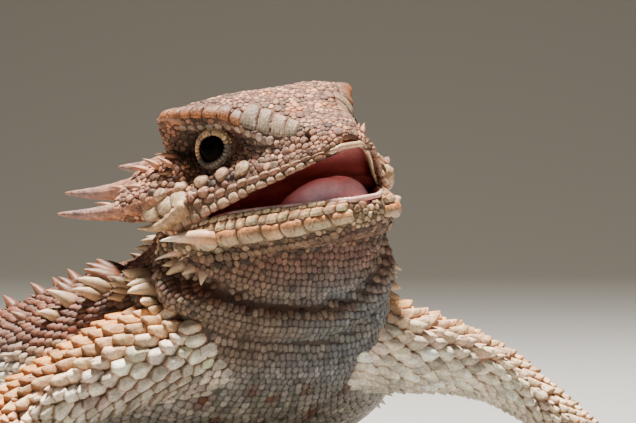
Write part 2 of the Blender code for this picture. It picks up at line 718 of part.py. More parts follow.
def digit(base, heading, length):
    """One finger or toe with its claw, as points and faces: it arches up from the palm and its claw curves down."""
    sides = 6
    t = np.array([-DIGIT_RADIUS / length, 0.1, 0.4, 0.66, 0.74, 0.9, 1.0])
    rise = np.array([1.2, 1.45, 1.25, 0.85, 0.95, 0.75, 0.25])
    radius = DIGIT_RADIUS * np.array([1.0, 1.0, 0.92, 0.8, 0.52, 0.36, CLAW_TIP])
    heading = unit([heading[0], heading[1], 0.0])
    side = np.cross(heading, (0.0, 0.0, 1.0))
    middle = np.asarray(base, float)[None, :] + t[:, None] * length * heading
    middle[:, 2] = rise
    turn = np.arange(sides) / sides * 2 * math.pi
    ring = (
        np.cos(turn)[None, :, None] * side + np.sin(turn)[None, :, None] * np.array([0.0, 0.0, 1.0])
    )
    rings = middle[:, None, :] + radius[:, None, None] * ring
    return rings.reshape(-1, 3), tube_faces(len(t), sides)


def fan_of_digits(joints, lengths, fan, mirror):
    """The five digits of a hand or foot, fanned out from its knuckles."""
    palm = np.array(joints["palm"])
    ahead = unit((np.array(joints["knuckles"]) - palm) * (1, 1, 0))
    pieces = []
    for length, angle in zip(lengths, fan):
        angle = math.radians(angle) * mirror
        heading = np.array([
            ahead[0] * math.cos(angle) - ahead[1] * math.sin(angle),
            ahead[0] * math.sin(angle) + ahead[1] * math.cos(angle),
            0.0,
        ])
        base = palm + 1.4 * ahead + 1.3 * heading
        pieces.append(digit(base, heading, length))
    return pieces


def make_limb(kind, names, joints, width, thick, trunk, digits, mirror):
    """An arm or a leg in three nodes, parted by thin cuts at its two joints, its root cut to the trunk's own shape."""
    stretches = (("root", "elbow", 12), ("elbow", "wrist", 9), ("wrist", "knuckles", 6))
    swell = 0.9 * GAP
    upper, lower, hand = (
        make_tube(name, limb_rings(joints, width, thick, *stretch))
        for name, stretch in zip(names, stretches)
    )
    for item, rows, stretch in zip((upper, lower), LIMB_SPINES[kind], stretches):
        pieces = [
            piece
            for row in rows
            for piece in limb_spines(joints, width, thick, *stretch[:2], row, mirror)
        ]
        union(item, pieces)
    union(hand, digits)
    cut_by(upper, trunk)
    # EXACT turns a length inside out where the one above it only comes near, so these use MANIFOLD.
    above_lower = make_tube("above_lower", limb_rings(joints, width, thick, *stretches[0], swell))
    subtract(lower, [above_lower], "MANIFOLD")
    above_hand = make_tube("above_hand", limb_rings(joints, width, thick, *stretches[1], swell))
    subtract(hand, [above_hand], "MANIFOLD")
    for item in (upper, lower, hand):
        if min(corner.co.z for corner in item.data.vertices) < 0:
            subtract(item, [floor_box()])
    return upper, lower, hand


def mirrored(joints):
    return {place: (-x, y, z) for place, (x, y, z) in joints.items()}


def clear_scene():
    for item in list(bpy.data.objects):
        bpy.data.objects.remove(item)


def build_head():
    skull = make_skull("head")
    plain = inflated(skull, 0.0)
    for mirror in (1, -1):
        side = "right" if mirror == 1 else "left"
        for name, (root, tip, wide, thick) in HORNS.items():
            horn = make_horn(f"{name}_{side}", root, tip, wide, thick, mirror)
            cut_by(horn, plain)
            finish(horn.name, "horn")
    lids = []
    hollows = []
    for mirror in (1, -1):
        side = "right" if mirror == 1 else "left"
        centre = np.array(EYE_PLACE) * (1, mirror, 1)
        eye = make_object(
            f"eye_{side}", *ball(from_skull(centre), np.full(3, EYE_RADIUS), 16, 9)
        )
        finish(eye.name, "eye")
        hollows.append(ball(from_skull(centre), np.full(3, EYE_RADIUS + GAP), 12, 7))
        out = np.array(EYE_OUT) * (1, mirror, 1)
        lids.append(lid_ring(centre, unit(out)))
        hollows.append(hollow(NOSTRIL_PLACE, NOSTRIL_RADIUS, mirror))
        hollows.append(hollow(EAR_PLACE, EAR_RADIUS, mirror))
    union(skull, lids + head_forms())
    cutters = [make_object(f"hollow_{i}", *piece) for i, piece in enumerate(hollows)]
    subtract(skull, cutters)
    bpy.data.objects.remove(plain)
    finish("head", "head")


def head_forms():
    """The skull's brow and cheek spines and its round scutes, on both sides."""
    pieces = []
    for mirror in (1, -1):
        flip = np.array([1, mirror, 1])
        for root, tip, radius in HEAD_SPINES:
            pieces.append(spine(from_skull(root * flip), from_skull(tip * flip), radius))
        for place, radius in HEAD_SCUTES:
            pieces.append(ball(from_skull(place * flip), np.full(3, radius), 6, 3))
    return pieces


def build_jaw():
    """The lower jaw with its row of shields, which grow towards the spines at its corners."""
    jaw = make_jaw("lower_jaw")
    table = np.array(JAW).T
    pieces = []
    for mirror in (1, -1):
        flip = np.array([1, mirror, 1])
        for root, tip, radius in JAW_SPINES:
            pieces.append(spine(from_jaw(root * flip), from_jaw(tip * flip), radius))
        for share in np.linspace(0, 1, SHIELDS_PER_SIDE):
            f = 17.4 - 11.4 * share
            r = glide(f, table[0], table[3]) - 0.45
            along = unit((1.0, -0.72 * mirror, 0.0))
            out = unit((0.72, mirror, 0.0))
            axes = np.array([along, out, (0.0, 0.0, 1.0)]) @ HEAD_AXES
            size = np.array(SHIELD_SIZE) * (0.85 + 0.2 * share)
            pieces.append(ball(from_jaw((f, r * mirror, -1.7)), size, 6, 3, axes))
    union(jaw, pieces)
    finish("lower_jaw", "lower_jaw")


def hollow(place, radius, mirror):
    return ball(from_skull(np.array(place) * (1, mirror, 1)), np.full(3, radius), 8, 3)


def lid_ring(centre, out):
    """A round ring that hugs the eyeball, as the two lids."""
    around, across = 14, 5
    forward = unit(np.cross(out, (0.0, 0.0, 1.0)))
    lift = np.cross(forward, out)
    turn = (np.arange(around) / around * 2 * math.pi)[:, None, None]
    tilt = (np.arange(across) / across * 2 * math.pi)[None, :, None]
    spoke = np.cos(turn) * forward + 0.92 * np.sin(turn) * lift
    reach = LID_RADIUS + LID_THICKNESS * np.cos(tilt)
    points = centre + reach * spoke + (LID_REACH + LID_THICKNESS * np.sin(tilt)) * out
    faces = []
    for i in range(around):
        for j in range(across):
            ahead = (i + 1) % around
            up = (j + 1) % across
            corners = (i * across + j, ahead * across + j, ahead * across + up, i * across + up)
            faces.append(corners)
    return from_skull(points.reshape(-1, 3)), faces


def build_trunk():
    chance = np.random.default_rng(CHANCE_SEED)
    start = along_trunk(TRUNK[0][1])
    tail_end = along_trunk(TAIL_ENDS_AT)
    torso_end = along_trunk(TORSO_ENDS_AT)
    neck_end = TRUNK_KNOTS[-1]
    half = GAP / 2
    tail = trunk_length("tail", start, tail_end - half, 14, 16)
    torso = trunk_length("torso", tail_end + half, torso_end - half, 24, 32)
    neck = trunk_length("neck", torso_end + half, neck_end, 12, 28)
    for item, rows in ((tail, TAIL_SPINES), (torso, TORSO_SPINES), (neck, NECK_SPINES)):
        union(item, [piece for row in rows for piece in trunk_spines(row, chance)])
    for item in (tail, torso):
        subtract(item, [floor_box()])
    jaw_room = box((SKULL_BACK, -40, THROAT_TOP), (60, 40, 40), from_jaw)
    skull_room = box((SKULL_BACK, -40, SKULL_FLOOR - GAP), (60, 40, 40), from_skull)
    rooms = [make_object("jaw_room", *jaw_room), make_object("skull_room", *skull_room)]
    subtract(neck, rooms)
    finish("tail", "tail")
    finish("torso", "torso")
    finish("neck", "neck")
    return trunk_length("whole_trunk", start, neck_end, 40, 32)


def build_limbs(trunk):
    sets = (
        ("arm", "right", ARM_RIGHT, 1),
        ("arm", "left", ARM_LEFT, -1),
        ("leg", "right", LEG_RIGHT, 1),
        ("leg", "left", mirrored(LEG_RIGHT), -1),
    )
    for kind, side, joints, mirror in sets:
        if kind == "arm":
            parts = ("upper_arm", "forearm", "hand")
            digits = fan_of_digits(joints, FINGER_LENGTHS, FINGER_FAN, mirror)
            width, thick = ARM_WIDTH, ARM_THICK
        else:
            parts = ("thigh", "shin", "foot")
            digits = fan_of_digits(joints, TOE_LENGTHS, TOE_FAN, mirror)
            width, thick = LEG_WIDTH, LEG_THICK
        names = [f"{part}_{side}" for part in parts]
        items = make_limb(kind, names, joints, width, thick, trunk, digits, mirror)
        for item in items:
            finish(item.name, "foot" if item is items[2] else "limb")


def set_origin():
    """Moves every piece so that the origin is under the middle of the whole."""
    corners = np.array([
        tuple(item.matrix_world @ Vector(corner))
        for item in bpy.context.scene.collection.objects
        for corner in item.bound_box
    ])
    low = corners.min(axis=0)
    high = corners.max(axis=0)
    shift = Vector((-(low[0] + high[0]) / 2, -(low[1] + high[1]) / 2, -low[2]))
    for item in bpy.context.scene.collection.objects:
        item.data.transform(Matrix.Translation(shift))


def main():
    clear_scene()
    trunk = build_trunk()
    build_head()
    build_jaw()
    make_tongue("tongue")
    finish("tongue", "tongue")
    build_limbs(trunk)
    bpy.data.objects.remove(trunk)
    set_origin()


main()
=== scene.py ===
# %% [markdown]
# # A horned lizard
#
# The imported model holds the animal's solid body. This lesson gives it its looks: one skin
# without seams, thousands of scales that lie on it, horns, spines, eyes and a wet mouth.
# Sizes are in millimetres and become metres when a mesh is made.

# %% Load the frame
import math

import bpy
import numpy as np
from mathutils import Matrix, Vector
from mathutils.bvhtree import BVHTree
from mathutils.kdtree import KDTree


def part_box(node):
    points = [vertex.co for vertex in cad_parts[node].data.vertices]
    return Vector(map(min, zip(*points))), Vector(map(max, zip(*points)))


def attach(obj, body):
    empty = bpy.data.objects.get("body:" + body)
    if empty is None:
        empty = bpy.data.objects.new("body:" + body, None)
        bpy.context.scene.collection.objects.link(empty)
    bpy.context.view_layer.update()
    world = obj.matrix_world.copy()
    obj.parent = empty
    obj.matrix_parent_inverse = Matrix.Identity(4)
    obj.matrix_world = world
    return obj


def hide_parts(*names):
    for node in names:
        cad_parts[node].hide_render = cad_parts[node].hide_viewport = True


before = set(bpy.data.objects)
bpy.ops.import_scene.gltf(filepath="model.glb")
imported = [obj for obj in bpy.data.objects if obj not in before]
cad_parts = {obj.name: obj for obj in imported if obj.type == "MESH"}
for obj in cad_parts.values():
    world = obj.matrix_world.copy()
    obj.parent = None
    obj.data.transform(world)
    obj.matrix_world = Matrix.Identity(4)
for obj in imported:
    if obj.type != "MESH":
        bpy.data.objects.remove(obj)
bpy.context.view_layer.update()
MM = 0.001
chance = np.random.default_rng(11)

# %% [markdown]
# ## Directions of the head
#
# The head is turned, lifted and leaned, and its upper half is opened from the lower jaw.
# Every place on the head is easier to name in the head's own directions: f forward, r to
# the animal's right and u up, from the point between the two jaw joints. The eyes of the
# solid model tell where that point is.

# %% Head frames
HEAD_TURN, HEAD_LIFT, HEAD_LEAN, GAPE = np.radians([2.5, 5.6, 8.8, 12.9])
EYE_PLACE = np.array([5.5, 7.6, 7.75])
DRAWN_JAW_JOINT = np.array([0.0, -23.5, 31.5])


def unit(vectors):
    """Each vector divided by its own length."""
    vectors = np.asarray(vectors, float)
    return vectors / np.maximum(np.linalg.norm(vectors, axis=-1, keepdims=True), 1e-9)


def head_axes():
    """Forward, right and up of the head: turned about Z, lifted, then leaned to its right."""
    ahead = np.array([-math.sin(HEAD_TURN), -math.cos(HEAD_TURN), 0.0])
    right = np.array([-math.cos(HEAD_TURN), math.sin(HEAD_TURN), 0.0])
    forward = math.cos(HEAD_LIFT) * ahead + math.sin(HEAD_LIFT) * np.array([0, 0, 1.0])
    up = -math.sin(HEAD_LIFT) * ahead + math.cos(HEAD_LIFT) * np.array([0, 0, 1.0])
    leaned_right = math.cos(HEAD_LEAN) * right - math.sin(HEAD_LEAN) * up
    leaned_up = math.sin(HEAD_LEAN) * right + math.cos(HEAD_LEAN) * up
    return np.array([forward, leaned_right, leaned_up])


HEAD = head_axes()


def tilted(points, angle):
    """Places turned up by an angle about the line through both jaw joints."""
    f, r, u = np.moveaxis(np.asarray(points, float), -1, 0)
    turned_f = f * math.cos(angle) - u * math.sin(angle)
    turned_u = f * math.sin(angle) + u * math.cos(angle)
    return np.stack([turned_f, r, turned_u], axis=-1)


def opened(points):
    """Skull places turned up by the gape, into jaw directions."""
    return tilted(points, GAPE)


def box_middle(node):
    """The middle of a node's box, in millimetres."""
    low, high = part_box(node)
    return (np.array(low) + np.array(high)) / 2 / MM


eyes_middle = (box_middle("eye_right") + box_middle("eye_left")) / 2
JAW_JOINT = eyes_middle - opened(EYE_PLACE * (1, 0, 1)) @ HEAD
SHIFT = JAW_JOINT - DRAWN_JAW_JOINT
print("jaw joint in mm:", np.round(JAW_JOINT, 2), "shift:", np.round(SHIFT, 3))


def from_jaw(points):
    return JAW_JOINT + np.asarray(points, float) @ HEAD


def from_skull(points):
    return from_jaw(opened(points))


def to_jaw(points):
    return (np.asarray(points, float) - JAW_JOINT) @ HEAD.T


def to_skull(points):
    """Model places in skull directions: jaw directions turned back by the gape."""
    return tilted(to_jaw(points), -GAPE)


def folded_skull(points):
    """Skull directions with both sides laid on the right one."""
    f, r, u = to_skull(points).T
    return np.stack([f, np.abs(r), u], axis=-1)


# %% [markdown]
# ## Meshes from grids
#
# Each shape below is a formula over a grid of two numbers. The helpers draw a smooth curve
# through a few values, close a grid into a tube with ends, and join tubes into one mesh.
# They keep the formulas of the later cells short, because each of those only gives places.

# %% Grid helpers
def glide(at, knots, values):
    """A smooth curve through values at knots: cubics whose slopes are the mean of both chords."""
    knots = np.asarray(knots, float)
    values = np.asarray(values, float)
    chords = np.diff(values) / np.diff(knots)
    slopes = np.concatenate([chords[:1], (chords[1:] + chords[:-1]) / 2, chords[-1:]])
    first = np.clip(np.searchsorted(knots, at, side="right") - 1, 0, len(knots) - 2)
    length = knots[first + 1] - knots[first]
    t = (at - knots[first]) / length
    start = (1 + 2 * t) * (1 - t) ** 2 * values[first]
    start = start + t * (1 - t) ** 2 * length * slopes[first]
    end = t * t * (3 - 2 * t) * values[first + 1]
    end = end + t * t * (t - 1) * length * slopes[first + 1]
    return start + end


def grid_quads(rows, columns, wrap):
    """The four corners of every cell of a grid, the last column joined to the first if wrap."""
    row, column = np.meshgrid(
        np.arange(rows - 1), np.arange(columns if wrap else columns - 1), indexing="ij"
    )
    after = (column + 1) % columns
    low = row * columns
    high = low + columns
    corners = [low + column, low + after, high + after, high + column]
    return np.stack(corners, axis=-1).reshape(-1, 4)


def new_mesh(name, points, faces):
    """A mesh object at the origin from points in millimetres."""
    mesh = bpy.data.meshes.new(name)
    mesh.from_pydata((np.asarray(points).reshape(-1, 3) * MM).tolist(), [], faces)
    mesh.shade_smooth()
    item = bpy.data.objects.new(name, mesh)
    bpy.context.scene.collection.objects.link(item)
    return item


def tube_shape(points):
    """Points and faces of a tube from a grid of rings, its two ends closed."""
    rows, columns = points.shape[:2]
    faces = grid_quads(rows, columns, True).tolist()
    faces.append(list(range(columns))[::-1])
    faces.append(list(range((rows - 1) * columns, rows * columns)))
    return points.reshape(-1, 3), faces


def outward(points, faces):
    """The same faces, turned round if the closed shape has a volume below zero."""
    centred = points - points.mean(axis=0)
    total = 0.0
    quads = np.array([face for face in faces if len(face) == 4])
    for second, third in ((1, 2), (2, 3)):
        corners = centred[quads[:, [0, second, third]]]
        total += np.einsum("ij,ij->i", corners[:, 0], np.cross(corners[:, 1], corners[:, 2])).sum()
    return [face[::-1] for face in faces] if total < 0 else faces


def joined(shapes):
    """Points and faces of several closed shapes as one, with all faces outwards."""
    points, faces, start = [], [], 0
    for own_points, own_faces in shapes:
        faces += [[corner + start for corner in face] for face in outward(own_points, own_faces)]
        points.append(own_points)
        start += len(own_points)
    return np.concatenate(points), faces


def closed_tube(name, grid):
    """A mesh object from a grid of rings, closed and facing outwards, and its points."""
    points, faces = tube_shape(grid)
    return new_mesh(name, points, outward(points, faces)), points


def full_turn(count):
    """Evenly spaced angles once round."""
    return np.arange(count) / count * 2 * math.pi


def lengths_along(line):
    """How far each place of a line lies from its start: the sum of the chords before it."""
    return np.concatenate([[0.0], np.cumsum(np.linalg.norm(np.diff(line, axis=0), axis=1))])


def search_tree(places):
    """A tree that finds the nearest of many places to any point."""
    tree = KDTree(len(places))
    for number, spot in enumerate(places):
        tree.insert(spot, number)
    tree.balance()
    return tree


# %% [markdown]
# ## The trunk's shape
#
# Tail, belly, chest and neck are one long form. Each row of the table is a section of it,
# and a section is a rounded oval, flatter below. The loose skin of the throat hangs in
# folds, which are low waves added along the neck.

# %% Trunk
# Sideways shift, Y, height of the middle, tilt in degrees, half width, reach above and below
TRUNK = np.array([
    (7.0, 81.0, 1.1, 0, 0.7, 0.9, 1.4),
    (4.2, 72.0, 1.7, 0, 2.0, 1.7, 2.0),
    (1.9, 61.0, 2.6, 0, 3.6, 2.7, 2.9),
    (0.5, 50.0, 3.8, 1, 6.0, 3.9, 4.1),
    (0.0, 41.0, 5.4, 2, 9.0, 5.2, 5.7),
    (0.0, 32.0, 7.4, 4, 13.5, 7.4, 7.7),
    (0.0, 22.0, 9.4, 6, 20.5, 9.6, 9.7),
    (0.0, 11.0, 11.4, 8, 25.6, 11.4, 11.2),
    (0.0, 0.0, 13.2, 11, 27.0, 12.4, 10.6),
    (0.0, -10.0, 15.6, 16, 24.0, 12.6, 9.8),
    (0.0, -17.0, 18.4, 26, 19.2, 12.4, 9.6),
    (0.0, -21.0, 21.8, 38, 15.8, 12.6, 9.2),
    (0.0, -22.8, 26.0, 50, 14.0, 12.2, 9.4),
    (0.0, -24.0, 31.0, 57, 12.4, 10.4, 10.4),
    (0.0, -26.0, 36.0, 62, 9.6, 6.0, 9.0),
])
TRUNK_ALONG = lengths_along(TRUNK[:, :3])
TOP_ROUNDNESS, BELLY_ROUNDNESS = 2.1, 2.5
SKIN_DEPTH = 0.3


def along_trunk(y):
    """Places along the trunk's middle line at given Y."""
    return np.interp(-np.asarray(y, float), -TRUNK[:, 1], TRUNK_ALONG)


# Folds of the throat: turns in degrees, place along the trunk at each, height, crease, half width
THROAT_FOLDS = (
    (
        (165, 175, 186, 204, 222, 265, 285, 302, 316, 335),
        (112.4, 110.6, 109.5, 110.3, 110.8, 110.7, 111.2, 112.5, 113.8, 116.0),
        1.1, 1.4, 1.45,
    ),
    ((200, 220, 245, 270, 300, 330), (113.6, 114.2, 114.6, 114.6, 115.4, 117.4), 0.12, 0.35, 0.4),
    ((250, 275, 300, 325), (116.8, 116.6, 117.2, 118.2), 0.1, 0.3, 0.3),
    ((150, 165, 185, 215), (108.6, 106.6, 106.0, 107.4), 0.4, 0.7, 0.8),
)
FOLD_FADE = 14
CREASE_AT, CREASE_WIDTH = 1.35, 0.4


def fold_height(along, turn):
    """Rolls of skin: a hump along a line round the throat, with a crease on each side of it."""
    degrees = np.degrees(turn) % 360
    height = 0.0 * along
    for turns, places, high, crease, wide in THROAT_FOLDS:
        crest = glide(np.clip(degrees, turns[0], turns[-1]), turns, places)
        ends = np.minimum(degrees - turns[0], turns[-1] - degrees) / FOLD_FADE
        share = np.clip(ends, 0, 1) ** 0.7
        off = (along - crest) / wide
        hump = high * np.exp(-(off**2))
        creases = np.exp(-(((np.abs(off) - CREASE_AT) / CREASE_WIDTH) ** 2))
        height = height + share * (hump - crease * creases)
    return height


def rounded(value, roundness):
    return np.sign(value) * np.abs(value) ** (2 / roundness)


def trunk(along, turn, swell=0.0):
    """Rounded ovals on the table's sections; turn is 0 at the left side, a quarter at the back."""
    along = np.asarray(along, float)
    turn = np.asarray(turn, float)
    x, y, z, tilt, width, above, below = (glide(along, TRUNK_ALONG, c) for c in TRUNK.T)
    over = np.sin(turn) >= 0
    swell = swell + fold_height(along, turn)
    roundness = np.where(over, TOP_ROUNDNESS, BELLY_ROUNDNESS)
    side = (width + swell) * rounded(np.cos(turn), roundness)
    rise = (np.where(over, above, below) + swell) * rounded(np.sin(turn), roundness)
    tilt = np.radians(tilt)
    return SHIFT + np.stack([x + side, y + rise * np.sin(tilt), z + rise * np.cos(tilt)], axis=-1)


print("trunk:", len(TRUNK), "sections,", round(TRUNK_ALONG[-1], 1), "mm along its middle")


# %% [markdown]
# ## Limbs, fingers and toes
#
# A limb is an oval tube along a smooth line through its joints. Its fingers or toes fan
# out from the knuckles as small tubes that arch up and come down to the claws.

# %% Limbs
# Joints of a limb: root, shoulder or hip, elbow or knee, wrist or ankle, palm, knuckles
ARM_RIGHT = np.array([
    (-9.0, -19.6, 18.0), (-15.5, -20.4, 16.6), (-30.2, -18.5, 9.4),
    (-37.4, -30.4, 3.6), (-39.2, -34.4, 1.5), (-40.2, -37.0, 0.9),
])
ARM_LEFT = np.array([
    (9.0, -19.6, 18.2), (15.5, -20.4, 17.2), (31.6, -19.6, 13.4),
    (42.6, -28.0, 3.9), (46.2, -31.0, 1.5), (48.4, -32.8, 0.9),
])
ARM_WIDTH = (7.0, 5.6, 3.5, 2.2, 3.2, 2.6)
ARM_THICK = (6.0, 5.0, 3.1, 2.0, 1.6, 1.1)
LEG_RIGHT = np.array([
    (-4.0, 33.5, 7.4), (-10.0, 31.0, 7.6), (-26.5, 23.5, 6.8),
    (-36.0, 36.5, 3.2), (-40.6, 36.4, 1.5), (-43.6, 34.6, 0.9),
])
LEG_WIDTH = (6.4, 6.2, 3.9, 2.3, 3.0, 2.7)
LEG_THICK = (5.2, 5.0, 3.7, 2.2, 1.7, 1.1)
# Lengths of the five digits and their headings in degrees
FINGERS = ((4.6, 6.2, 7.0, 6.6, 4.8), (-64, -32, -4, 24, 56))
TOES = ((4.2, 6.0, 8.2, 10.0, 6.4), (-60, -36, -12, 14, 52))
# Seven places along a digit: share of its length and height over the ground
DIGIT_AT = np.array([-0.2, 0.1, 0.4, 0.66, 0.74, 0.9, 1.0])
DIGIT_HEIGHT = (1.2, 1.45, 1.25, 0.85, 0.95, 0.75, 0.3)
DIGIT_RADIUS = 1.0
LIMBS = {
    "arm_right": (ARM_RIGHT, ARM_WIDTH, ARM_THICK, FINGERS, 1),
    "arm_left": (ARM_LEFT, ARM_WIDTH, ARM_THICK, FINGERS, -1),
    "leg_right": (LEG_RIGHT, LEG_WIDTH, LEG_THICK, TOES, 1),
    "leg_left": (LEG_RIGHT * (-1, 1, 1), LEG_WIDTH, LEG_THICK, TOES, -1),
}


def limb(name, along, turn, swell=0.0):
    """Ovals square to a smooth line through the joints; turn is a quarter at the upper side."""
    joints, width, thick, _, mirror = LIMBS[name]
    lengths = lengths_along(joints)
    along, turn = np.broadcast_arrays(np.asarray(along, float), np.asarray(turn, float))
    middle, after, before = (
        np.stack([glide(along + step, lengths, joints[:, axis]) for axis in range(3)], axis=-1)
        for step in (0.0, 0.05, -0.05)
    )
    ahead = unit(after - before)
    side = mirror * unit(np.cross(ahead, (0.0, 0.0, 1.0)))
    lift = mirror * np.cross(side, ahead)
    across = (glide(along, lengths, width) + swell) * np.cos(turn)
    rise = (glide(along, lengths, thick) + swell) * np.sin(turn)
    return SHIFT + middle + across[..., None] * side + rise[..., None] * lift


def digits(name):
    """For each digit its middle line of seven places and its heading."""
    joints, _, _, (lengths, fan), mirror = LIMBS[name]
    palm, knuckles = joints[4], joints[5]
    ahead = unit((knuckles - palm) * (1, 1, 0))
    found = []
    for length, angle in zip(lengths, np.radians(fan) * mirror):
        turned = np.array([
            ahead[0] * math.cos(angle) - ahead[1] * math.sin(angle),
            ahead[0] * math.sin(angle) + ahead[1] * math.cos(angle),
            0.0,
        ])
        middle = palm + 1.4 * ahead + 1.3 * turned + DIGIT_AT[:, None] * length * turned
        middle[:, 2] = DIGIT_HEIGHT
        found.append((SHIFT + middle, turned))
    return found


def ring_tube(middle, radius, sides, heading):
    """Rings of a given radius round a middle line, all square to one heading."""
    side = unit(np.cross(heading, (0.0, 0.0, 1.0)))
    lift = np.cross(side, heading)
    turn = full_turn(sides)[None, :, None]
    ring = np.cos(turn) * side + np.sin(turn) * lift
    return middle[:, None, :] + np.asarray(radius)[:, None, None] * ring


print("limbs in mm:", {name: round(lengths_along(row[0])[-1], 1) for name, row in LIMBS.items()})


# %% [markdown]
# ## Skull and lower jaw
#
# The upper head has a flat crown with raised brows over deep-set eyes, cheeks that spread
# towards the horns, and a lip that hangs over the mouth. The lower jaw is a shallow tray
# with a ledge of shields outside it. Both are sections strung along the head.

# %% Head sections
# f, height of the top, then r and u of crown edge, brow, socket, cheek and lip
SKULL = np.array([
    (-3.0, 11.4, 6.2, 11.2, 8.9, 9.6, 9.3, 6.8, 12.0, 3.5, 12.3, 0.9),
    (-1.0, 12.5, 6.9, 12.4, 10.4, 11.0, 9.4, 7.4, 13.0, 3.8, 13.1, 0.9),
    (1.5, 13.4, 7.2, 13.5, 11.8, 12.7, 9.0, 8.4, 13.0, 4.2, 13.3, 0.9),
    (3.6, 13.6, 6.9, 13.7, 11.6, 12.7, 8.0, 8.6, 11.9, 4.0, 12.4, 0.9),
    (6.0, 13.3, 6.2, 13.3, 10.3, 11.7, 6.8, 7.8, 10.2, 3.9, 10.9, 1.1),
    (8.5, 12.5, 5.3, 12.4, 8.5, 10.5, 6.2, 7.3, 8.6, 3.8, 9.3, 1.3),
    (10.8, 11.1, 4.5, 10.8, 6.7, 8.3, 5.8, 6.0, 7.2, 3.5, 7.9, 1.4),
    (13.0, 9.1, 3.5, 8.7, 5.0, 6.2, 5.1, 4.6, 6.0, 3.1, 6.6, 1.4),
    (15.3, 7.1, 2.7, 6.7, 3.9, 5.1, 4.2, 3.9, 4.7, 2.8, 5.2, 1.5),
    (17.2, 5.7, 2.0, 5.4, 2.9, 4.4, 3.2, 3.5, 3.6, 2.6, 3.9, 1.6),
    (18.6, 4.6, 1.2, 4.4, 1.8, 3.9, 2.1, 3.2, 2.4, 2.5, 2.5, 1.7),
    (19.4, 3.6, 0.5, 3.5, 0.7, 3.2, 0.8, 2.9, 0.9, 2.4, 1.0, 1.9),
])
# f, then r and u of rim, ledge and lower edge, and the height of the mouth's floor
JAW = np.array([
    (-3.0, 11.6, -0.1, 12.4, -1.3, 10.8, -3.3, -0.1),
    (0.0, 12.4, 0.5, 13.2, -1.0, 11.3, -3.3, 0.4),
    (2.8, 12.2, 1.0, 13.0, -0.9, 10.7, -3.3, 0.2),
    (6.0, 10.2, 1.4, 11.2, -0.9, 8.7, -3.3, -0.9),
    (10.0, 7.9, 1.3, 8.9, -0.9, 6.5, -3.3, -1.2),
    (13.5, 6.0, 1.05, 7.0, -1.0, 4.7, -3.3, -1.2),
    (16.3, 4.4, 0.9, 5.3, -1.0, 3.4, -3.2, -1.1),
    (18.3, 2.9, 0.7, 3.6, -1.0, 2.1, -2.9, -0.9),
    (19.6, 1.4, 0.5, 1.9, -1.0, 0.9, -2.5, -0.5),
    (20.1, 0.4, 0.3, 0.7, -1.0, 0.3, -1.9, -0.5),
])
LIP_WIDTH, RIM_WIDTH, PALATE_DEPTH = 1.0, 1.0, 1.9


def through(knots, at):
    """A smooth line through knots (knot, value, place) at fractional knot numbers."""
    steps = np.arange(len(knots), dtype=float)
    first = np.clip(np.searchsorted(steps, at, side="right") - 1, 0, len(knots) - 2)
    t = (at - first)[:, None, None]
    before = knots[np.maximum(first - 1, 0)]
    low, high = knots[first], knots[first + 1]
    beyond = knots[np.minimum(first + 2, len(knots) - 1)]
    slope_low = np.where(first[:, None, None] > 0, (high - before) / 2, high - low)
    slope_high = np.where(first[:, None, None] < len(knots) - 2, (beyond - low) / 2, high - low)
    value = (1 + 2 * t) * (1 - t) ** 2 * low + t * (1 - t) ** 2 * slope_low
    return value + t * t * (3 - 2 * t) * high + t * t * (t - 1) * slope_high


def skull_side(f, at):
    """The skull's right side at each f, from crown 0 by brow 2, cheek 4 and lip 5 to palate 8."""
    top, crown_r, crown_u, brow_r, brow_u, socket_r, socket_u, cheek_r, cheek_u, lip_r, lip_u = (
        glide(f, SKULL[:, 0], column) for column in SKULL.T[1:]
    )
    gap = np.clip((f - 2.0) / 3, 0, 1)
    narrow = np.clip(lip_r / 4, 0.15, 1)
    palate_r = lip_r - 1.9 * LIP_WIDTH * narrow
    knots = np.array([
        (0 * top, top), (crown_r, crown_u), (brow_r, brow_u), (socket_r, socket_u),
        (cheek_r, cheek_u), (lip_r, lip_u), (lip_r - LIP_WIDTH * narrow, lip_u + 0.12 * gap),
        (palate_r, lip_u + (0.2 + PALATE_DEPTH * 0.55 * narrow) * gap),
        (0 * top, lip_u + PALATE_DEPTH * narrow * gap),
    ])
    line = through(knots, np.asarray(at, float))
    r, u = line[:, 0].T, line[:, 1].T
    return np.stack([np.broadcast_to(f[:, None], r.shape), r, u], axis=-1)


def jaw_side(f, at):
    """The lower jaw's right side at each f, from the mouth's floor 0 by rim 3 and ledge 4 to 6."""
    rim_r, rim_u, ledge_r, ledge_u, edge_r, edge_u, floor_u = (
        glide(f, JAW[:, 0], column) for column in JAW.T[1:]
    )
    narrow = np.clip(rim_r / 4, 0.15, 1)
    knots = np.array([
        (0 * rim_r, floor_u),
        (rim_r - 2.0 * RIM_WIDTH * narrow, floor_u + 0.25 * (rim_u - floor_u)),
        (rim_r - RIM_WIDTH * narrow, rim_u - 0.1 * narrow),
        (rim_r, rim_u), (ledge_r, ledge_u), (edge_r, edge_u), (0 * rim_r, edge_u),
    ])
    line = through(knots, np.asarray(at, float))
    r, u = line[:, 0].T, np.maximum(line[:, 1].T, edge_u[:, None])
    return np.stack([np.broadcast_to(f[:, None], r.shape), r, u], axis=-1)


def both_sides(right):
    """A whole ring from its right half, mirrored without the two middle points."""
    return np.concatenate([right, right[:, -2:0:-1] * (1, -1, 1)], axis=1)


print("head:", len(SKULL), "sections of the skull and", len(JAW), "of the jaw")


# %% [markdown]
# ## One skin
#
# All flesh is one skin, with no seam at neck, shoulder or hip. The tubes above overlap,
# and a voxel remesh melts them into a single surface, as a sculptor blends clay. A few
# rounds of smoothing soften the joins. The mouth stays open: points of the neck that
# would fill it are pushed back to the throat.

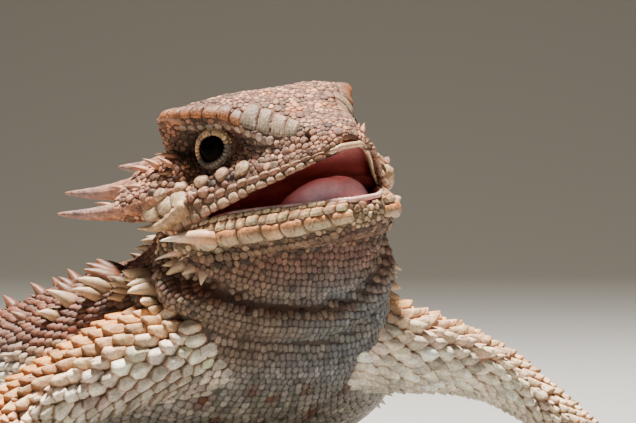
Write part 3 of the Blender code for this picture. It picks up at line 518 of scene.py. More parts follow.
# %% Skin
VOXEL = 0.45
MOUTH_BACK, MOUTH_FLOOR = -2.2, -2.6
trunk_along = np.linspace(0, TRUNK_ALONG[-1], 240)[:, None]
trunk_turn = full_turn(160)[None, :]
trunk_grid = trunk(trunk_along, trunk_turn, -SKIN_DEPTH)
in_jaw = to_jaw(trunk_grid)
behind, under = in_jaw[..., 0] - MOUTH_BACK, in_jaw[..., 2] - MOUTH_FLOOR
in_mouth = (behind > 0) & (under > 0)
in_jaw[..., 0] = np.where(in_mouth & (behind <= under), MOUTH_BACK, in_jaw[..., 0])
in_jaw[..., 2] = np.where(in_mouth & (behind > under), MOUTH_FLOOR, in_jaw[..., 2])
trunk_grid = np.where(in_mouth[..., None], from_jaw(in_jaw), trunk_grid)

skull_f = glide(np.linspace(0, 11, 70), np.arange(12), SKULL[:, 0])
jaw_f = glide(np.linspace(0, 9, 60), np.arange(10), JAW[:, 0])
shapes = [
    tube_shape(trunk_grid),
    tube_shape(from_skull(both_sides(skull_side(skull_f, np.linspace(0, 8, 65))))),
    tube_shape(from_jaw(both_sides(jaw_side(jaw_f, np.linspace(0, 6, 49))))),
]
DIGIT_TAPER = np.array([0.75, 0.75, 0.7, 0.62, 0.4])
for name, (joints, *_) in LIMBS.items():
    along = np.linspace(0, lengths_along(joints)[-1], 90)[:, None]
    shapes.append(tube_shape(limb(name, along, full_turn(40)[None, :], -SKIN_DEPTH)))
    for middle, heading in digits(name):
        radius = DIGIT_RADIUS * DIGIT_TAPER
        shapes.append(tube_shape(ring_tube(middle[:5], radius, 10, heading)))

# Lumps over the roots of the horns: two places in skull directions and the radius at each
TEMPLE_LUMPS = (
    ((1.0, 11.0, 4.8), (-4.0, 17.0, 5.2), 2.4, 1.45),
    ((-0.6, 10.0, 7.0), (-6.0, 12.8, 8.0), 2.4, 1.65),
    ((0.4, 10.8, 6.0), (-5.2, 15.2, 6.7), 2.5, 1.3),
    ((2.8, 10.2, 6.4), (0.0, 11.2, 7.2), 1.7, 2.0),
    ((3.6, 11.4, 2.7), (-0.6, 14.6, 2.7), 1.5, 0.95),
)


def lump(start, end, first, last, mirror):
    """Rings round the line between two places of the skull, with the radius running evenly."""
    start, end = np.array(start) * (1, mirror, 1), np.array(end) * (1, mirror, 1)
    share = np.linspace(0, 1, 16)[:, None, None]
    turn = full_turn(20)[:, None]
    side = unit(np.cross(end - start, (0.0, 0.0, 1.0)))
    lift = unit(np.cross(side, end - start))
    ring = np.cos(turn) * side + np.sin(turn) * lift
    radius = (first + (last - first) * share) * (1 - 0.3 * share**6) * (1 if mirror > 0 else 0.85)
    return from_skull(start + (end - start) * share + radius * ring)


shapes += [tube_shape(lump(*row, mirror)) for row in TEMPLE_LUMPS for mirror in (1, -1)]

skin = new_mesh("skin", *joined(shapes))
remesh = skin.modifiers.new("melt", "REMESH")
remesh.mode = "VOXEL"
remesh.voxel_size = VOXEL * MM
remesh.use_smooth_shade = True
soften = skin.modifiers.new("soften", "SMOOTH")
soften.factor = 0.5
soften.iterations = 3


def settle(item):
    """Applies an object's modifiers."""
    graph = bpy.context.evaluated_depsgraph_get()
    mesh = bpy.data.meshes.new_from_object(item.evaluated_get(graph))
    item.modifiers.clear()
    item.data = mesh


def triples(rows, key):
    """Three numbers for each row of a mesh's data, as one array."""
    flat = np.empty(len(rows) * 3, np.float32)
    rows.foreach_get(key, flat)
    return flat.reshape(-1, 3).astype(float)


def mesh_points(item):
    """The points of an object's mesh, in millimetres."""
    return triples(item.data.vertices, "co") / MM


settle(skin)
skin_points = mesh_points(skin)
skin_normals = triples(skin.data.vertex_normals, "vector")
print("skin:", len(skin_points), "points,", len(skin.data.polygons), "faces")
skin_tree = BVHTree.FromObject(skin, bpy.context.evaluated_depsgraph_get())


def on_skin(points):
    """The nearest place on the skin to each point, the skin's direction there and the gap."""
    places, normals, _, gaps = zip(*(skin_tree.find_nearest(Vector(p)) for p in points * MM))
    return np.array(places) / MM, np.array(normals), np.array(gaps) / MM


# %% [markdown]
# ## Where the scales sit
#
# Scales grow in rows that run round the body and step by half a scale from row to row.
# On the trunk and limbs each row is an evenly spaced ring. On the head and hands they are
# an even scatter: random places on the skin, kept only where no kept one is too near.
# A seed is a scale's root, with the size it will have and the way it lies.

# %% Rings of seeds
STEADY, JITTER = 0.06, 0.09


def ring_seeds(surface, length, row_step, size_at, patch, start=0.0):
    """Rows of seeds on a tube: each row's seeds are even along the ring's own length."""
    fine = np.linspace(0, 2 * math.pi, 181)
    rows, turns, number, count = [], [], 0, 4
    along = start
    while along < length:
        ring = surface(np.full(181, along), fine)
        size = size_at(np.full(181, along), fine)
        steps = np.linalg.norm(np.diff(ring, axis=0), axis=1) / ((size[1:] + size[:-1]) / 2)
        travelled = np.concatenate([[0.0], np.cumsum(steps)])
        if abs(count - travelled[-1]) > STEADY * travelled[-1]:
            count = max(4, int(round(travelled[-1])))
        step = np.arange(count) + 0.5 * (number % 2) + chance.normal(0, JITTER, count)
        turns.append(np.interp(step / count * travelled[-1] % travelled[-1], travelled, fine))
        rows.append(along + chance.normal(0, JITTER * float(size.mean()), count))
        along += row_step * float(size.mean())
        number += 1
    rows, turns = np.clip(np.concatenate(rows), 0.05, length - 0.05), np.concatenate(turns)
    place = surface(rows, turns)
    lie = unit(surface(rows + 0.1, turns) - surface(rows - 0.1, turns))
    size = size_at(rows, turns)
    u0, v0, wide, high = patch
    atlas = np.stack([u0 + wide * rows / length, v0 + high * turns / (2 * math.pi)], axis=-1)
    return place, lie, size, atlas


def trunk_scale_size(along, turn):
    """Bigger on the belly than on the back, smaller on the chest and tail, least at the throat."""
    y = np.interp(along, TRUNK_ALONG, TRUNK[:, 1])
    belly = np.clip(0.5 - np.sin(turn), 0, 1)
    size = 1.12 + 0.1 * belly - 0.2 * np.clip((-10 - y) / 4, 0, 1)
    neck = np.clip((-17 - y) / 3.5, 0, 1)
    size = size * (1 - neck) + (0.78 - 0.08 * belly) * neck
    tail = np.clip((y - 38) / 20, 0, 1)
    return size * (1 - 0.3 * tail)


def arm_scale_size(along, turn):
    """Large on the upper side of the arm, small below and towards the hand."""
    upper = np.interp(along, (0, 7, 20, 34, 40), (1.35, 1.85, 1.65, 1.1, 0.85))
    return upper - 0.4 * upper * np.clip(-np.sin(turn), 0, 1)


def leg_scale_size(along, turn):
    """The same on the leg, a little smaller."""
    upper = np.interp(along, (0, 7, 25, 42, 48), (1.4, 1.7, 1.5, 1.1, 0.9))
    return upper - 0.2 * upper * np.clip(-np.sin(turn), 0, 1)


seeds = {}
place, lie, size, atlas = ring_seeds(
    lambda a, t: trunk(a, t, -SKIN_DEPTH), TRUNK_ALONG[-1], 0.84, trunk_scale_size,
    (0.0, 0.5, 1.0, 0.5), 0.6,
)
seeds["trunk"] = (place, -lie, size, atlas)
for number, (name, (joints, *_)) in enumerate(LIMBS.items()):
    seeds[name] = ring_seeds(
        lambda a, t, name=name: limb(name, a, t, -SKIN_DEPTH), lengths_along(joints)[-1], 0.86,
        arm_scale_size if "arm" in name else leg_scale_size,
        (0.25 * number, 0.25, 0.25, 0.25),
    )
print({name: len(found[0]) for name, found in seeds.items()})

# %% [markdown]
# The head, hands and feet get their scatter from points spread over the skin's faces.
# The wanted spacing is a field: fine round the eye and lips, coarser on crown and cheek.

# %% Scatter of seeds
def head_scale_size(place):
    """Spacing wanted on the head, in millimetres, from skull and jaw directions."""
    folded = folded_skull(place)
    f, _, u = folded.T
    jaw_u = to_jaw(place)[:, 2]
    size = np.full(len(place), 0.7)
    size = np.where(u > 10.0, 0.54, size)
    eye = np.linalg.norm(folded - EYE_PLACE, axis=-1)
    size = np.minimum(size, 0.42 + 0.1 * np.clip(eye - 2.5, 0, 5))
    lip = np.abs(u - 0.9) + np.clip(3 - f, 0, 9) * 0.3
    size = np.minimum(size, 0.55 + 0.14 * np.clip(lip, 0, 3))
    snout = np.clip((f - 12) / 5, 0, 1)
    size = size - 0.16 * snout
    return np.where(jaw_u < 0.9, np.minimum(size, 0.78), size)


skin.data.calc_loop_triangles()
triangles = np.empty(len(skin.data.loop_triangles) * 3, np.int32)
skin.data.loop_triangles.foreach_get("vertices", triangles)
triangles = triangles.reshape(-1, 3)
corners = skin_points[triangles]
edges = corners[:, 1:] - corners[:, :1]
areas = np.linalg.norm(np.cross(edges[:, 0], edges[:, 1]), axis=1)
middles = corners.mean(axis=1)
skull_f, skull_r, skull_u = to_skull(middles).T
jaw_f, _, jaw_u = to_jaw(middles).T
on_head = (skull_f > -3.4) & (jaw_u > -3.9) & (jaw_f > -6)
on_head |= (np.abs(skull_r) > 9.4) & (skull_f > -9) & (skull_u > 1.0)
near_hands = (middles[:, 2] < 3.4) & (np.abs(middles[:, 0] - SHIFT[0]) > 33)
HEAD_CANDIDATES, HAND_CANDIDATES = 85000, 16000


def scatter(mask, count):
    """Random places on the chosen faces, as many on each as its area asks."""
    chosen = np.flatnonzero(mask)
    picked = chance.choice(chosen, count, p=areas[chosen] / areas[chosen].sum())
    weights = chance.dirichlet((1, 1, 1), count)
    return np.einsum("ij,ijk->ik", weights, corners[picked])


def keep_apart(place, size, taken_place, taken_size, closeness=0.8):
    """Which places to keep so that no two are nearer than their sizes allow, first come first."""
    tree = search_tree(place)
    free = np.ones(len(place), bool)
    for spot, width in zip(taken_place, taken_size):
        for _, number, gap in tree.find_range(spot, width):
            if gap < closeness * (width + size[number]) / 2:
                free[number] = False
    kept = []
    for number in range(len(place)):
        if not free[number]:
            continue
        kept.append(number)
        for _, other, gap in tree.find_range(place[number], closeness * size[number]):
            free[other] = False
    return np.array(kept)


# %% [markdown]
# ## Named scales
#
# Some scales are big enough to know one by one: a row under the shields of the lower jaw,
# a row under the brow, two rows of bosses on the cheek and the plates of the temple. They
# are seeds of their own, set along lines on the head, and they come first, so that the
# small scales leave room for them.

# %% Rows on the head
def row_on(side_function, place_function, f_range, at, count, size):
    """Seeds on both sides of the head along one line of the section, from front to back."""
    f = np.linspace(*f_range, count)
    right = side_function(f, [at])[:, 0]
    both = np.concatenate([right, right * (1, -1, 1)])
    return place_function(both), np.full(2 * count, size)


named = {
    "under_shield": row_on(jaw_side, from_jaw, (17.4, 3.0), 4.72, 20, 0.85),
    "under_brow": row_on(skull_side, from_skull, (12.6, 4.0), 2.4, 10, 0.8),
    "cheek_big": row_on(skull_side, from_skull, (9.5, 0.5), 3.85, 5, 1.5),
    "cheek_low": row_on(skull_side, from_skull, (10.0, 1.0), 4.2, 7, 1.15),
}
TEMPLE_PLATES = np.array([(3.4, 13.0, 3.4), (2.0, 14.0, 3.4), (0.2, 14.8, 3.4)])
temple_plates = np.concatenate([TEMPLE_PLATES, TEMPLE_PLATES * (1, -1, 1)])
named["temple_plate"] = (from_skull(temple_plates), np.full(len(temple_plates), 1.9))
named_place = np.concatenate([place for place, _ in named.values()])
named_size = np.concatenate([size for _, size in named.values()])
named_kind = np.concatenate([np.full(len(size), kind) for kind, (_, size) in named.items()])
named_place = on_skin(named_place)[0]

head_candidates = scatter(on_head, HEAD_CANDIDATES)
head_size = head_scale_size(head_candidates) * np.exp(chance.normal(0, 0.16, HEAD_CANDIDATES))
kept = keep_apart(head_candidates, head_size, named_place, named_size)
head_place, head_size = head_candidates[kept], head_size[kept]
hand_candidates = scatter(near_hands, HAND_CANDIDATES)
hand_size = np.full(len(hand_candidates), 0.8)
kept = keep_apart(hand_candidates, hand_size, [], [])
hand_place, hand_size = hand_candidates[kept], hand_size[kept]
print("named", len(named_place), "head", len(head_place), "hands", len(hand_place))

# %% Gather all seeds
BODY_NAMES = ("head", "hands", "trunk", *LIMBS)


def head_atlas(place):
    """Head places unwrapped by their angle round the head's length and their way forward."""
    f, r, u = to_skull(place).T
    round_head = (np.arctan2(r, u - 4) / math.pi + 1) / 2
    return np.stack([0.02 + 0.4 * (f + 8) / 30, 0.02 + 0.2 * round_head], axis=-1)


def hand_atlas(place):
    """Places on hands and feet seen from above."""
    x, y, _ = (place - SHIFT).T
    return np.stack([0.5 + 0.45 * (x + 60) / 120, 0.02 + 0.2 * (y + 50) / 110], axis=-1)


back_of_head = np.tile(-HEAD[0], (len(head_place) + len(named_place), 1))
head_all = np.concatenate([named_place, head_place])
outwards = unit((hand_place - SHIFT - (0, 8, 0)) * (1, 1, 0))
gathered = [
    (head_all, back_of_head, np.concatenate([named_size, head_size]), head_atlas(head_all), 0),
    (hand_place, outwards, hand_size, hand_atlas(hand_place), 1),
]
gathered += [(*seeds[name], BODY_NAMES.index(name)) for name in (*LIMBS, "trunk")]
place, lie, size, atlas = (np.concatenate(values) for values in list(zip(*gathered))[:4])
body = np.concatenate([np.full(len(row[0]), row[4]) for row in gathered])
kind = np.concatenate([named_kind, np.full(len(place) - len(named_kind), "plain", dtype="<U12")])
settled, normal, gap = on_skin(place)
on_top = gap < 0.55
first_come = np.flatnonzero(on_top)
kept = first_come[keep_apart(settled[first_come], size[first_come], [], [], 0.62)]
place, normal, lie, size, atlas, body, kind = (
    values[kept] for values in (settled, normal, lie, size, atlas, body, kind)
)
print("scales:", len(place))

# %% [markdown]
# ## Colours of the coat
#
# The animal is sand and rust: pink and cream on the head, grey under the chest, painted darker
# and cooler there as the head's shadow, orange on the arms' upper sides, white along the flanks,
# and rust with dark blotches on the back.
# One function gives the colour at any place, so that the skin between the scales carries
# the same markings.

# %% Palette and markings
PINK = np.array([0.40, 0.185, 0.115])
ROSE = np.array([0.34, 0.135, 0.08])
ORANGE = np.array([0.60, 0.21, 0.06])
RUST = np.array([0.26, 0.075, 0.025])
CREAM = np.array([0.76, 0.54, 0.32])
IVORY = np.array([0.84, 0.78, 0.66])
GREY = np.array([0.36, 0.30, 0.235])
TAUPE = np.array([0.22, 0.135, 0.08])
BROWN = np.array([0.075, 0.03, 0.012])
# Painted shade: the cool blue-grey of the throat's shadow
SHADE_BLUE_GREY = np.array([0.25, 0.30, 0.33])
AMBER = np.array([0.78, 0.36, 0.07])
BLUSH = AMBER * (0.9, 0.7, 0.5)
# Painted shade: the dark, cool grey that the chest takes under the head's shadow
CHEST_SHADE_GREY = np.array([0.165, 0.17, 0.172])
CHEST_SAND = np.array([0.3, 0.26, 0.19])


def waves(place, length, start):
    """A soft random field from 0 to 1: eight cosines of about one length, summed."""
    rng = np.random.default_rng(start)
    directions = unit(rng.normal(size=(8, 3))) * (2 * math.pi / length)
    directions = directions * rng.uniform(0.7, 1.4, (8, 1))
    field = np.cos(place @ directions.T + rng.uniform(0, 2 * math.pi, 8)).sum(axis=1) / 8
    return np.clip(0.5 + 1.1 * field, 0, 1)


def mix(colour, other, share):
    """A share of the way from one colour to the other."""
    share = np.clip(np.asarray(share, float), 0, 1)[..., None]
    return colour * (1 - share) + other * share


def plain(colour, count):
    """One colour for a count of points."""
    return np.broadcast_to(colour, (count, 3))


def near(values, centre, reach):
    """One at the centre, falling smoothly to nothing at about twice the reach."""
    return np.exp(-((np.linalg.norm(values - np.array(centre), axis=-1) / reach) ** 2))


# Marks of the head: colour, share, place in skull directions and radius
HEAD_MARKS = (
    (ORANGE, 0.75, (13.6, 2.2, 8.2), 1.3),
    (ORANGE, 0.6, (9.4, 2.4, 11.2), 1.5),
    (ORANGE, 0.7, (3.5, 12.0, 13.2), 2.2),
    (RUST * 0.8, 0.85, EYE_PLACE + (2.2, 0, -0.6), 2.8),
    # Painted shade under the brow, behind and above the eye
    (BROWN * 0.8, 0.97, EYE_PLACE + (-2.0, 0.6, 1.4), 3.9),
    (PINK * 0.95, 0.8, (-1.5, 13.5, 6.5), 3.2),
    (ORANGE, 0.4, (-1.0, 13.0, 8.5), 2.0),
    (GREY * 0.8, 0.5, (11.5, 5.5, 6.6), 2.4),
    (ORANGE, 0.3, (3.0, 11.5, 4.5), 3.0),
)
# Painted shade on the cheek: its middle in skull directions, radius and depth
CHEEK_PLACE, CHEEK_RADIUS, CHEEK_SHADE = (7.0, 10.5, 4.5), 6.0, 0.4
# Spots of the chest: sideways place, height and radius; blotches of the back: place and radius
CHEST_SPOTS = (
    (-9, 12, 0.99), (-4, 13, 0.72), (-1, 12, 0.63), (3, 13, 0.72),
    (-6, 9.5, 0.81), (6, 10, 0.9), (0, 8.5, 0.81), (9, 13, 0.81),
)
BACK_BLOTCHES = ((9, -12, 27, 5.5), (9, 2, 25, 4.2), (8, 14, 22, 3.8), (6, 26, 17, 3.2))


def head_colour(place):
    """Pink crown with orange patches, rust round the eye, cream lips and jaw; painted shade behind
    the eye under the brow, on the cheek and under the jaw.
    """
    folded = folded_skull(place)
    u, count = folded[:, 2], len(folded)
    jaw_f, _, jaw_u = to_jaw(place).T
    broad, fine = waves(place, 7.0, 1), waves(place, 2.2, 2)
    colour = mix(plain(PINK * 0.95, count), ROSE * 0.9, 0.9 * broad)
    colour = mix(colour, CREAM * 0.8, 0.32 * fine)
    for mark, share, centre, reach in HEAD_MARKS:
        colour = mix(colour, mark, share * near(folded, centre, reach))
    # The cheek is painted darker as shade
    colour = colour * (1 - CHEEK_SHADE * near(folded, CHEEK_PLACE, CHEEK_RADIUS))[:, None]
    lip = np.exp(-(((u - 1.1) / 0.8) ** 2)) * (jaw_u > 0.6)
    colour = mix(colour, CREAM, 0.7 * lip)
    jaw = np.clip((1.0 - jaw_u) / 0.4, 0, 1) * (jaw_f > -4)
    orange = np.clip(0.6 + 0.7 * jaw_u, 0, 0.8) * (0.4 + 0.6 * fine)
    colour = mix(colour, mix(plain(CREAM * 0.8, count), ORANGE, orange), jaw)
    # The jaw's underside is painted dark as shade
    under = np.clip((-1.9 - jaw_u) / 0.5, 0, 1) * (jaw_f > -4)
    return mix(colour, mix(plain(TAUPE * 0.7, count), ROSE * 0.55, 0.6 * broad), under)


def trunk_colour(place, normal):
    """Rust and blotched above, white along the flank, banded on the tail; grey on the chest, with
    painted shade on chest, throat and neck and a painted patch of light on the chest.
    """
    x, y, z = (place - SHIFT).T
    up = normal[:, 2]
    folded = np.stack([np.abs(x), y, z], axis=-1)
    from_front = np.stack([x, z], axis=-1)
    broad, fine = waves(place, 9.0, 3), waves(place, 2.6, 4)
    back = mix(plain(PINK * 0.3, len(x)), RUST * 0.55, broad)
    back = mix(back, ROSE, 0.2 * fine)
    for *centre, reach in BACK_BLOTCHES:
        share = near(folded, centre, reach) + 0.3 * (fine - 0.5)
        back = mix(back, BROWN, 1.1 * np.clip(share, 0, 1) ** 1.5)
    back = mix(back, IVORY * 0.8, 0.6 * np.exp(-((x / 1.6) ** 2)) * (y > -16) * (y < 34))
    band = 0.5 + 0.5 * np.sin(2 * math.pi * y / 8.5)
    tail = np.clip((y - 36) / 6, 0, 1)
    back = mix(back, BROWN, 0.55 * tail * band**3)
    back = mix(back, PINK * 0.7, 0.5 * tail * (1 - band))
    chest = np.clip((-12 - y) / 6, 0, 1)
    below = mix(plain(GREY * 1.2, len(x)), IVORY, 0.4 * broad)
    # The chest is painted darker and cooler grey as the head's shadow
    below = mix(below, CHEST_SHADE_GREY, 0.9 * chest)
    below = mix(below, CHEST_SAND, 0.75 * chest * np.clip((15 - z) / 5, 0, 1))
    # Painted light: a pale patch on the chest's right front where light falls past the head
    below = mix(below, IVORY * 0.8, 0.5 * chest * near(from_front, (-11, 16), 5.0))
    for *centre, reach in CHEST_SPOTS:
        below = mix(below, RUST * 0.5, 0.95 * chest * near(from_front, centre, reach))
    flank = mix(plain(IVORY, len(x)), CREAM, broad)
    colour = mix(below, flank, np.clip((up + 0.55) / 0.35, 0, 1))
    colour = mix(colour, back, np.clip((up - 0.05) / 0.35, 0, 1))
    # The throat's own pink-grey, painted darker and cooler as the jaw's shadow, bluer towards the
    # left side
    throat = np.clip((-14.5 - y) / 4, 0, 1) * np.clip((z - 13) / 5, 0, 1) * np.clip(0.7 - up, 0, 1)
    cool_shade_share = 0.12 + 0.7 * np.clip((x + 7) / 10, 0, 1)
    painted_throat_shade = mix(plain(TAUPE * 0.7, len(x)), SHADE_BLUE_GREY * 0.5, cool_shade_share)
    painted_throat_shade = mix(painted_throat_shade, CREAM * 0.45, 0.2 * fine)
    painted_throat_shade = mix(painted_throat_shade, ROSE * 0.52, 0.75 * np.clip((z - 23.5) / 4, 0, 1))
    # Painted shade: a dark brown patch on each side of the neck behind the jaw
    colour = mix(colour, BROWN * 1.4, 0.8 * near(folded, (12, -18, 24), 5.5))
    return mix(colour, painted_throat_shade, 1.3 * throat)


def limb_colour(place, normal, arm, right):
    """White and grey below and in front, orange along the upper side, paler to the hand; undersides
    painted darker as shade, the left limbs painted lighter as light.
    """
    x, y, _ = (place - SHIFT).T
    up = normal[:, 2]
    # Share of grey on the undersides, a painted shade stronger on the right limbs; brightness
    # below, raised on the left limbs as painted light; where the orange begins and its greatest
    # share
    values = (0.75, 1.0, 0.15 * arm, 1.0) if right else (0.15, 1.15, -0.05, 0.85)
    grey, bright, lowest, most = values
    broad, fine = waves(place, 5.0, 5), waves(place, 1.9, 6)
    low = mix(plain(IVORY * (1.05, 1.0, 0.92), len(x)), GREY * 1.2, 0.3 * broad)
    # Undersides painted greyer as shade, and the whole lower colour scaled by the painted
    # brightness
    low = bright * mix(low, GREY * 0.9, grey * np.clip(-0.2 - up, 0, 0.6) / 0.6)
    top = mix(plain(AMBER * (0.88, 0.7, 0.5), len(x)), CREAM * (1, 1, 0.8), 0.28 * fine)
    top = mix(top, RUST, (0.15 if arm else 0.35) * broad)
    forward = np.clip(-normal[:, 1], 0, 1)
    share = np.clip((up - lowest) / 0.45, 0, 1) * (1 - 0.5 * forward) * most
    colour = mix(low, top, share)
    if not arm:
        bars = 0.5 + 0.5 * np.sin(0.75 * x + 0.4 * y)
        colour = mix(colour, BROWN * 1.6, 0.5 * bars**3 * np.clip(up, 0, 1))
    hand = np.clip((np.abs(x) - 33) / 6, 0, 1)
    return mix(colour, CREAM, 0.5 * hand)


def markings(place, normal, body):
    """The colour at each place, by the part of the body it belongs to."""
    colour = np.zeros((len(place), 3))
    for number, name in enumerate(BODY_NAMES):
        own = body == number
        if name == "head":
            colour[own] = head_colour(place[own])
        elif name == "trunk":
            colour[own] = trunk_colour(place[own], normal[own])
        else:
            arm, right = "leg" not in name, "left" not in name
            colour[own] = limb_colour(place[own], normal[own], arm, right)
    return colour


base_colour = markings(place, normal, body)
print("mean colour of the coat:", np.round(base_colour.mean(axis=0), 3))

# %% [markdown]
# ## A scale's form
#
# Each scale fills the room between its neighbours: its edge lies half way to each of them,
# as soap bubbles meet. Over that outline it rises in rings to its crest. A keel is a ridge
# along it, the tilt lifts its rear edge over the next scale, and a point draws it out behind.

# %% Cells and plates
RING_REACH = {"small": (1.0, 0.94, 0.6), "large": (1.0, 0.95, 0.76, 0.4)}
# GROOVE_SHADE and RIM_SHADE paint shade into each scale's groove and onto its rim
GROOVE_DEPTH, GROOVE_SHADE = 0.3, 0.2
RIM_SHADE = np.array([0.45, 0.55, 0.6])
SPECK_SHADE, SPECK_REACH = 0.75, 0.65
SIZE_PULL, LEAST_REACH, LEAST_FACING = 0.45, 0.22, 0.12
PATCH = 0.0014
FORM_KEYS = ("height", "keel", "tilt", "point", "edge", "rim", "crest")
LOOK_KEYS = ("blush", "speck")


def tangents(normal, lie):
    """Along the scale's lie and across it, both in the skin's plane."""
    along = unit(lie - np.einsum("ij,ij->i", lie, normal)[:, None] * normal)
    return along, np.cross(normal, along)


def cells(place, normal, lie, size, around, most=0.74):
    """How far each scale reaches at each angle: the nearest wall half way to a neighbour."""
    tree, count = search_tree(place), min(11, len(place))
    found = np.array([[number for _, number, _ in tree.find_n(spot, count)] for spot in place])
    along, across = tangents(normal, lie)
    away = place[found[:, 1:]] - place[:, None]
    x = np.einsum("ijk,ik->ij", away, along)
    y = np.einsum("ijk,ik->ij", away, across)
    far = np.maximum(np.hypot(x, y), 0.05)
    wall = (far**2 + SIZE_PULL * (size[:, None] ** 2 - size[found[:, 1:]] ** 2)) / (2 * far)
    wall = np.maximum(wall, LEAST_REACH * size[:, None])[:, None, :]
    facing = np.cos(full_turn(around)[None, :, None] - np.arctan2(y, x)[:, None, :])
    reach = np.where(facing > LEAST_FACING, wall / np.maximum(facing, LEAST_FACING), np.inf)
    reach = np.clip(reach.min(axis=2), LEAST_REACH * size[:, None], most * size[:, None])
    return 0.8 * reach + 0.1 * (np.roll(reach, 1, axis=1) + np.roll(reach, -1, axis=1))


def mesh_from(name, points, triangles, tint=None, atlas=None):
    """A smooth mesh object from arrays, with a colour and a bake place for each point."""
    mesh = bpy.data.meshes.new(name)
    mesh.vertices.add(len(points))
    mesh.vertices.foreach_set("co", (points * MM).astype(np.float32).ravel())
    mesh.loops.add(triangles.size)
    mesh.loops.foreach_set("vertex_index", triangles.astype(np.int32).ravel())
    mesh.polygons.add(len(triangles))
    starts = np.arange(len(triangles)) * triangles.shape[1]
    mesh.polygons.foreach_set("loop_start", starts.astype(np.int32))
    mesh.update(calc_edges=True)
    mesh.shade_smooth()
    if tint is not None:
        set_tint(mesh, tint)
    if atlas is not None:
        layer = mesh.uv_layers.new(name="OFBake")
        layer.data.foreach_set("uv", atlas[triangles.ravel()].astype(np.float32).ravel())
    item = bpy.data.objects.new(name, mesh)
    bpy.context.scene.collection.objects.link(item)
    return item


def set_tint(mesh, tint):
    """A colour for each point of a mesh, kept with it as the attribute that finishes read."""
    layer = mesh.color_attributes.new("Tint", "FLOAT_COLOR", "POINT")
    rgba = np.concatenate([np.clip(tint, 0, 1), np.ones((len(tint), 1))], axis=1)
    layer.data.foreach_set("color", rgba.astype(np.float32).ravel())


def ring_fan(around, rings):
    """Triangles of one scale or spine: bands between its rings and a fan at its tip."""
    ring, side = np.meshgrid(np.arange(rings - 1), np.arange(around), indexing="ij")
    low, after = ring * around, (side + 1) % around
    first = np.stack([low + side, low + after, low + around + after], axis=-1)
    second = np.stack([low + side, low + around + after, low + around + side], axis=-1)
    rim, tip = (rings - 1) * around + np.arange(around), np.full(around, rings * around)
    after = (rings - 1) * around + (np.arange(around) + 1) % around
    fan = np.stack([rim, after, tip], axis=-1)
    return np.concatenate([first.reshape(-1, 3), second.reshape(-1, 3), fan])


def join_parts(parts):
    """One set of arrays from several, with the triangles' numbers moved on."""
    points, triangles, tints, patches = zip(*parts)
    starts = np.cumsum([0] + [len(own) for own in points[:-1]])
    moved = [own + start for own, start in zip(triangles, starts)]
    return tuple(np.concatenate(values) for values in (points, moved, tints, patches))


def plates(place, normal, lie, size, form, colour, atlas, detail="small", around=9, most=0.74):
    """Points, triangles, colours and bake places of one plate for each seed."""
    height, keel, tilt, point, edge, rim, crest, blush, speck = (
        form[key][:, None] for key in FORM_KEYS + LOOK_KEYS
    )
    angle = full_turn(around)
    rearward = np.clip(np.cos(angle), 0, 1)
    reach = cells(place, normal, lie, size, around, most) * (1 + point * rearward**3)
    along, across = tangents(normal, lie)
    wobble = chance.normal(0, 0.06, reach.shape)
    points, shades, patches = [], [], []
    for number, share in enumerate(RING_REACH[detail]):
        x = share * reach * np.cos(angle) + crest * size[:, None] * (1 - share)
        y = share * reach * np.sin(angle)
        if number == 0:
            z = np.minimum(tilt * x, 0) - GROOVE_DEPTH
            # The groove is painted dark as shade
            groove = np.minimum(colour, RUST) * GROOVE_SHADE
            shade = np.repeat(mix(colour, groove, rim[:, 0])[:, None], around, axis=1)
        else:
            roof = np.clip(1 - np.abs(y) / (0.55 * size[:, None]), 0, 1)
            ridge = keel * roof * (1.0 if share < 0.9 else 0.6 * rearward**4)
            z = height * (edge + (1 - edge) * (1 - share**2) + wobble) + tilt * x + ridge
            # The rim is painted darker as shade
            dark = colour * (1 - rim * RIM_SHADE * (share > 0.9))
            warm = np.clip(-x / size[:, None] - 0.1, 0, 0.5) * 2 * blush
            shade = mix(dark[:, None], BLUSH, warm)
            shade = shade * (1 - SPECK_SHADE * speck[..., None] * (share < SPECK_REACH))
        spot = place[:, None] + x[..., None] * along[:, None] + y[..., None] * across[:, None]
        points.append(spot + z[..., None] * normal[:, None])
        shades.append(shade)
        ring = np.stack([np.cos(angle), np.sin(angle)], axis=-1)
        patches.append(atlas[:, None] + PATCH * share * ring)
    slide = crest * size[:, None]
    top = place + slide * along + (height + keel + tilt * slide) * normal
    points.append(top[:, None])
    # The crest is painted a little lighter as a highlight, darker where it has a speck
    shades.append((colour * (1.12 - speck))[:, None])
    patches.append(atlas[:, None])
    points = np.concatenate(points, axis=1)
    count, per_scale = points.shape[:2]
    numbers = (np.arange(count) * per_scale)[:, None, None]
    triangles = ring_fan(around, len(RING_REACH[detail])) + numbers
    shades, patches = (
        np.concatenate(rows, axis=1).reshape(count * per_scale, -1) for rows in (shades, patches)
    )
    return points.reshape(-1, 3), triangles.reshape(-1, 3), shades, patches


# %% Form of each scale by its place
drawn_y, up, count = (place - SHIFT)[:, 1], normal[:, 2], len(place)
is_head, is_trunk, is_hand = (body == BODY_NAMES.index(name) for name in ("head", "trunk", "hands"))
is_limb = ~is_head & ~is_trunk & ~is_hand
plain_head = is_head & (kind == "plain")
throat = is_trunk & (drawn_y < -15.5) & (up < 0.5)
chest = is_trunk & (drawn_y >= -15.5) & (up < 0.1)
back = is_trunk & (up > 0.2)
flank = is_trunk & (up <= 0.35) & (up > -0.35) & (drawn_y > -17)
limb_upper = is_limb & (up > -0.6)
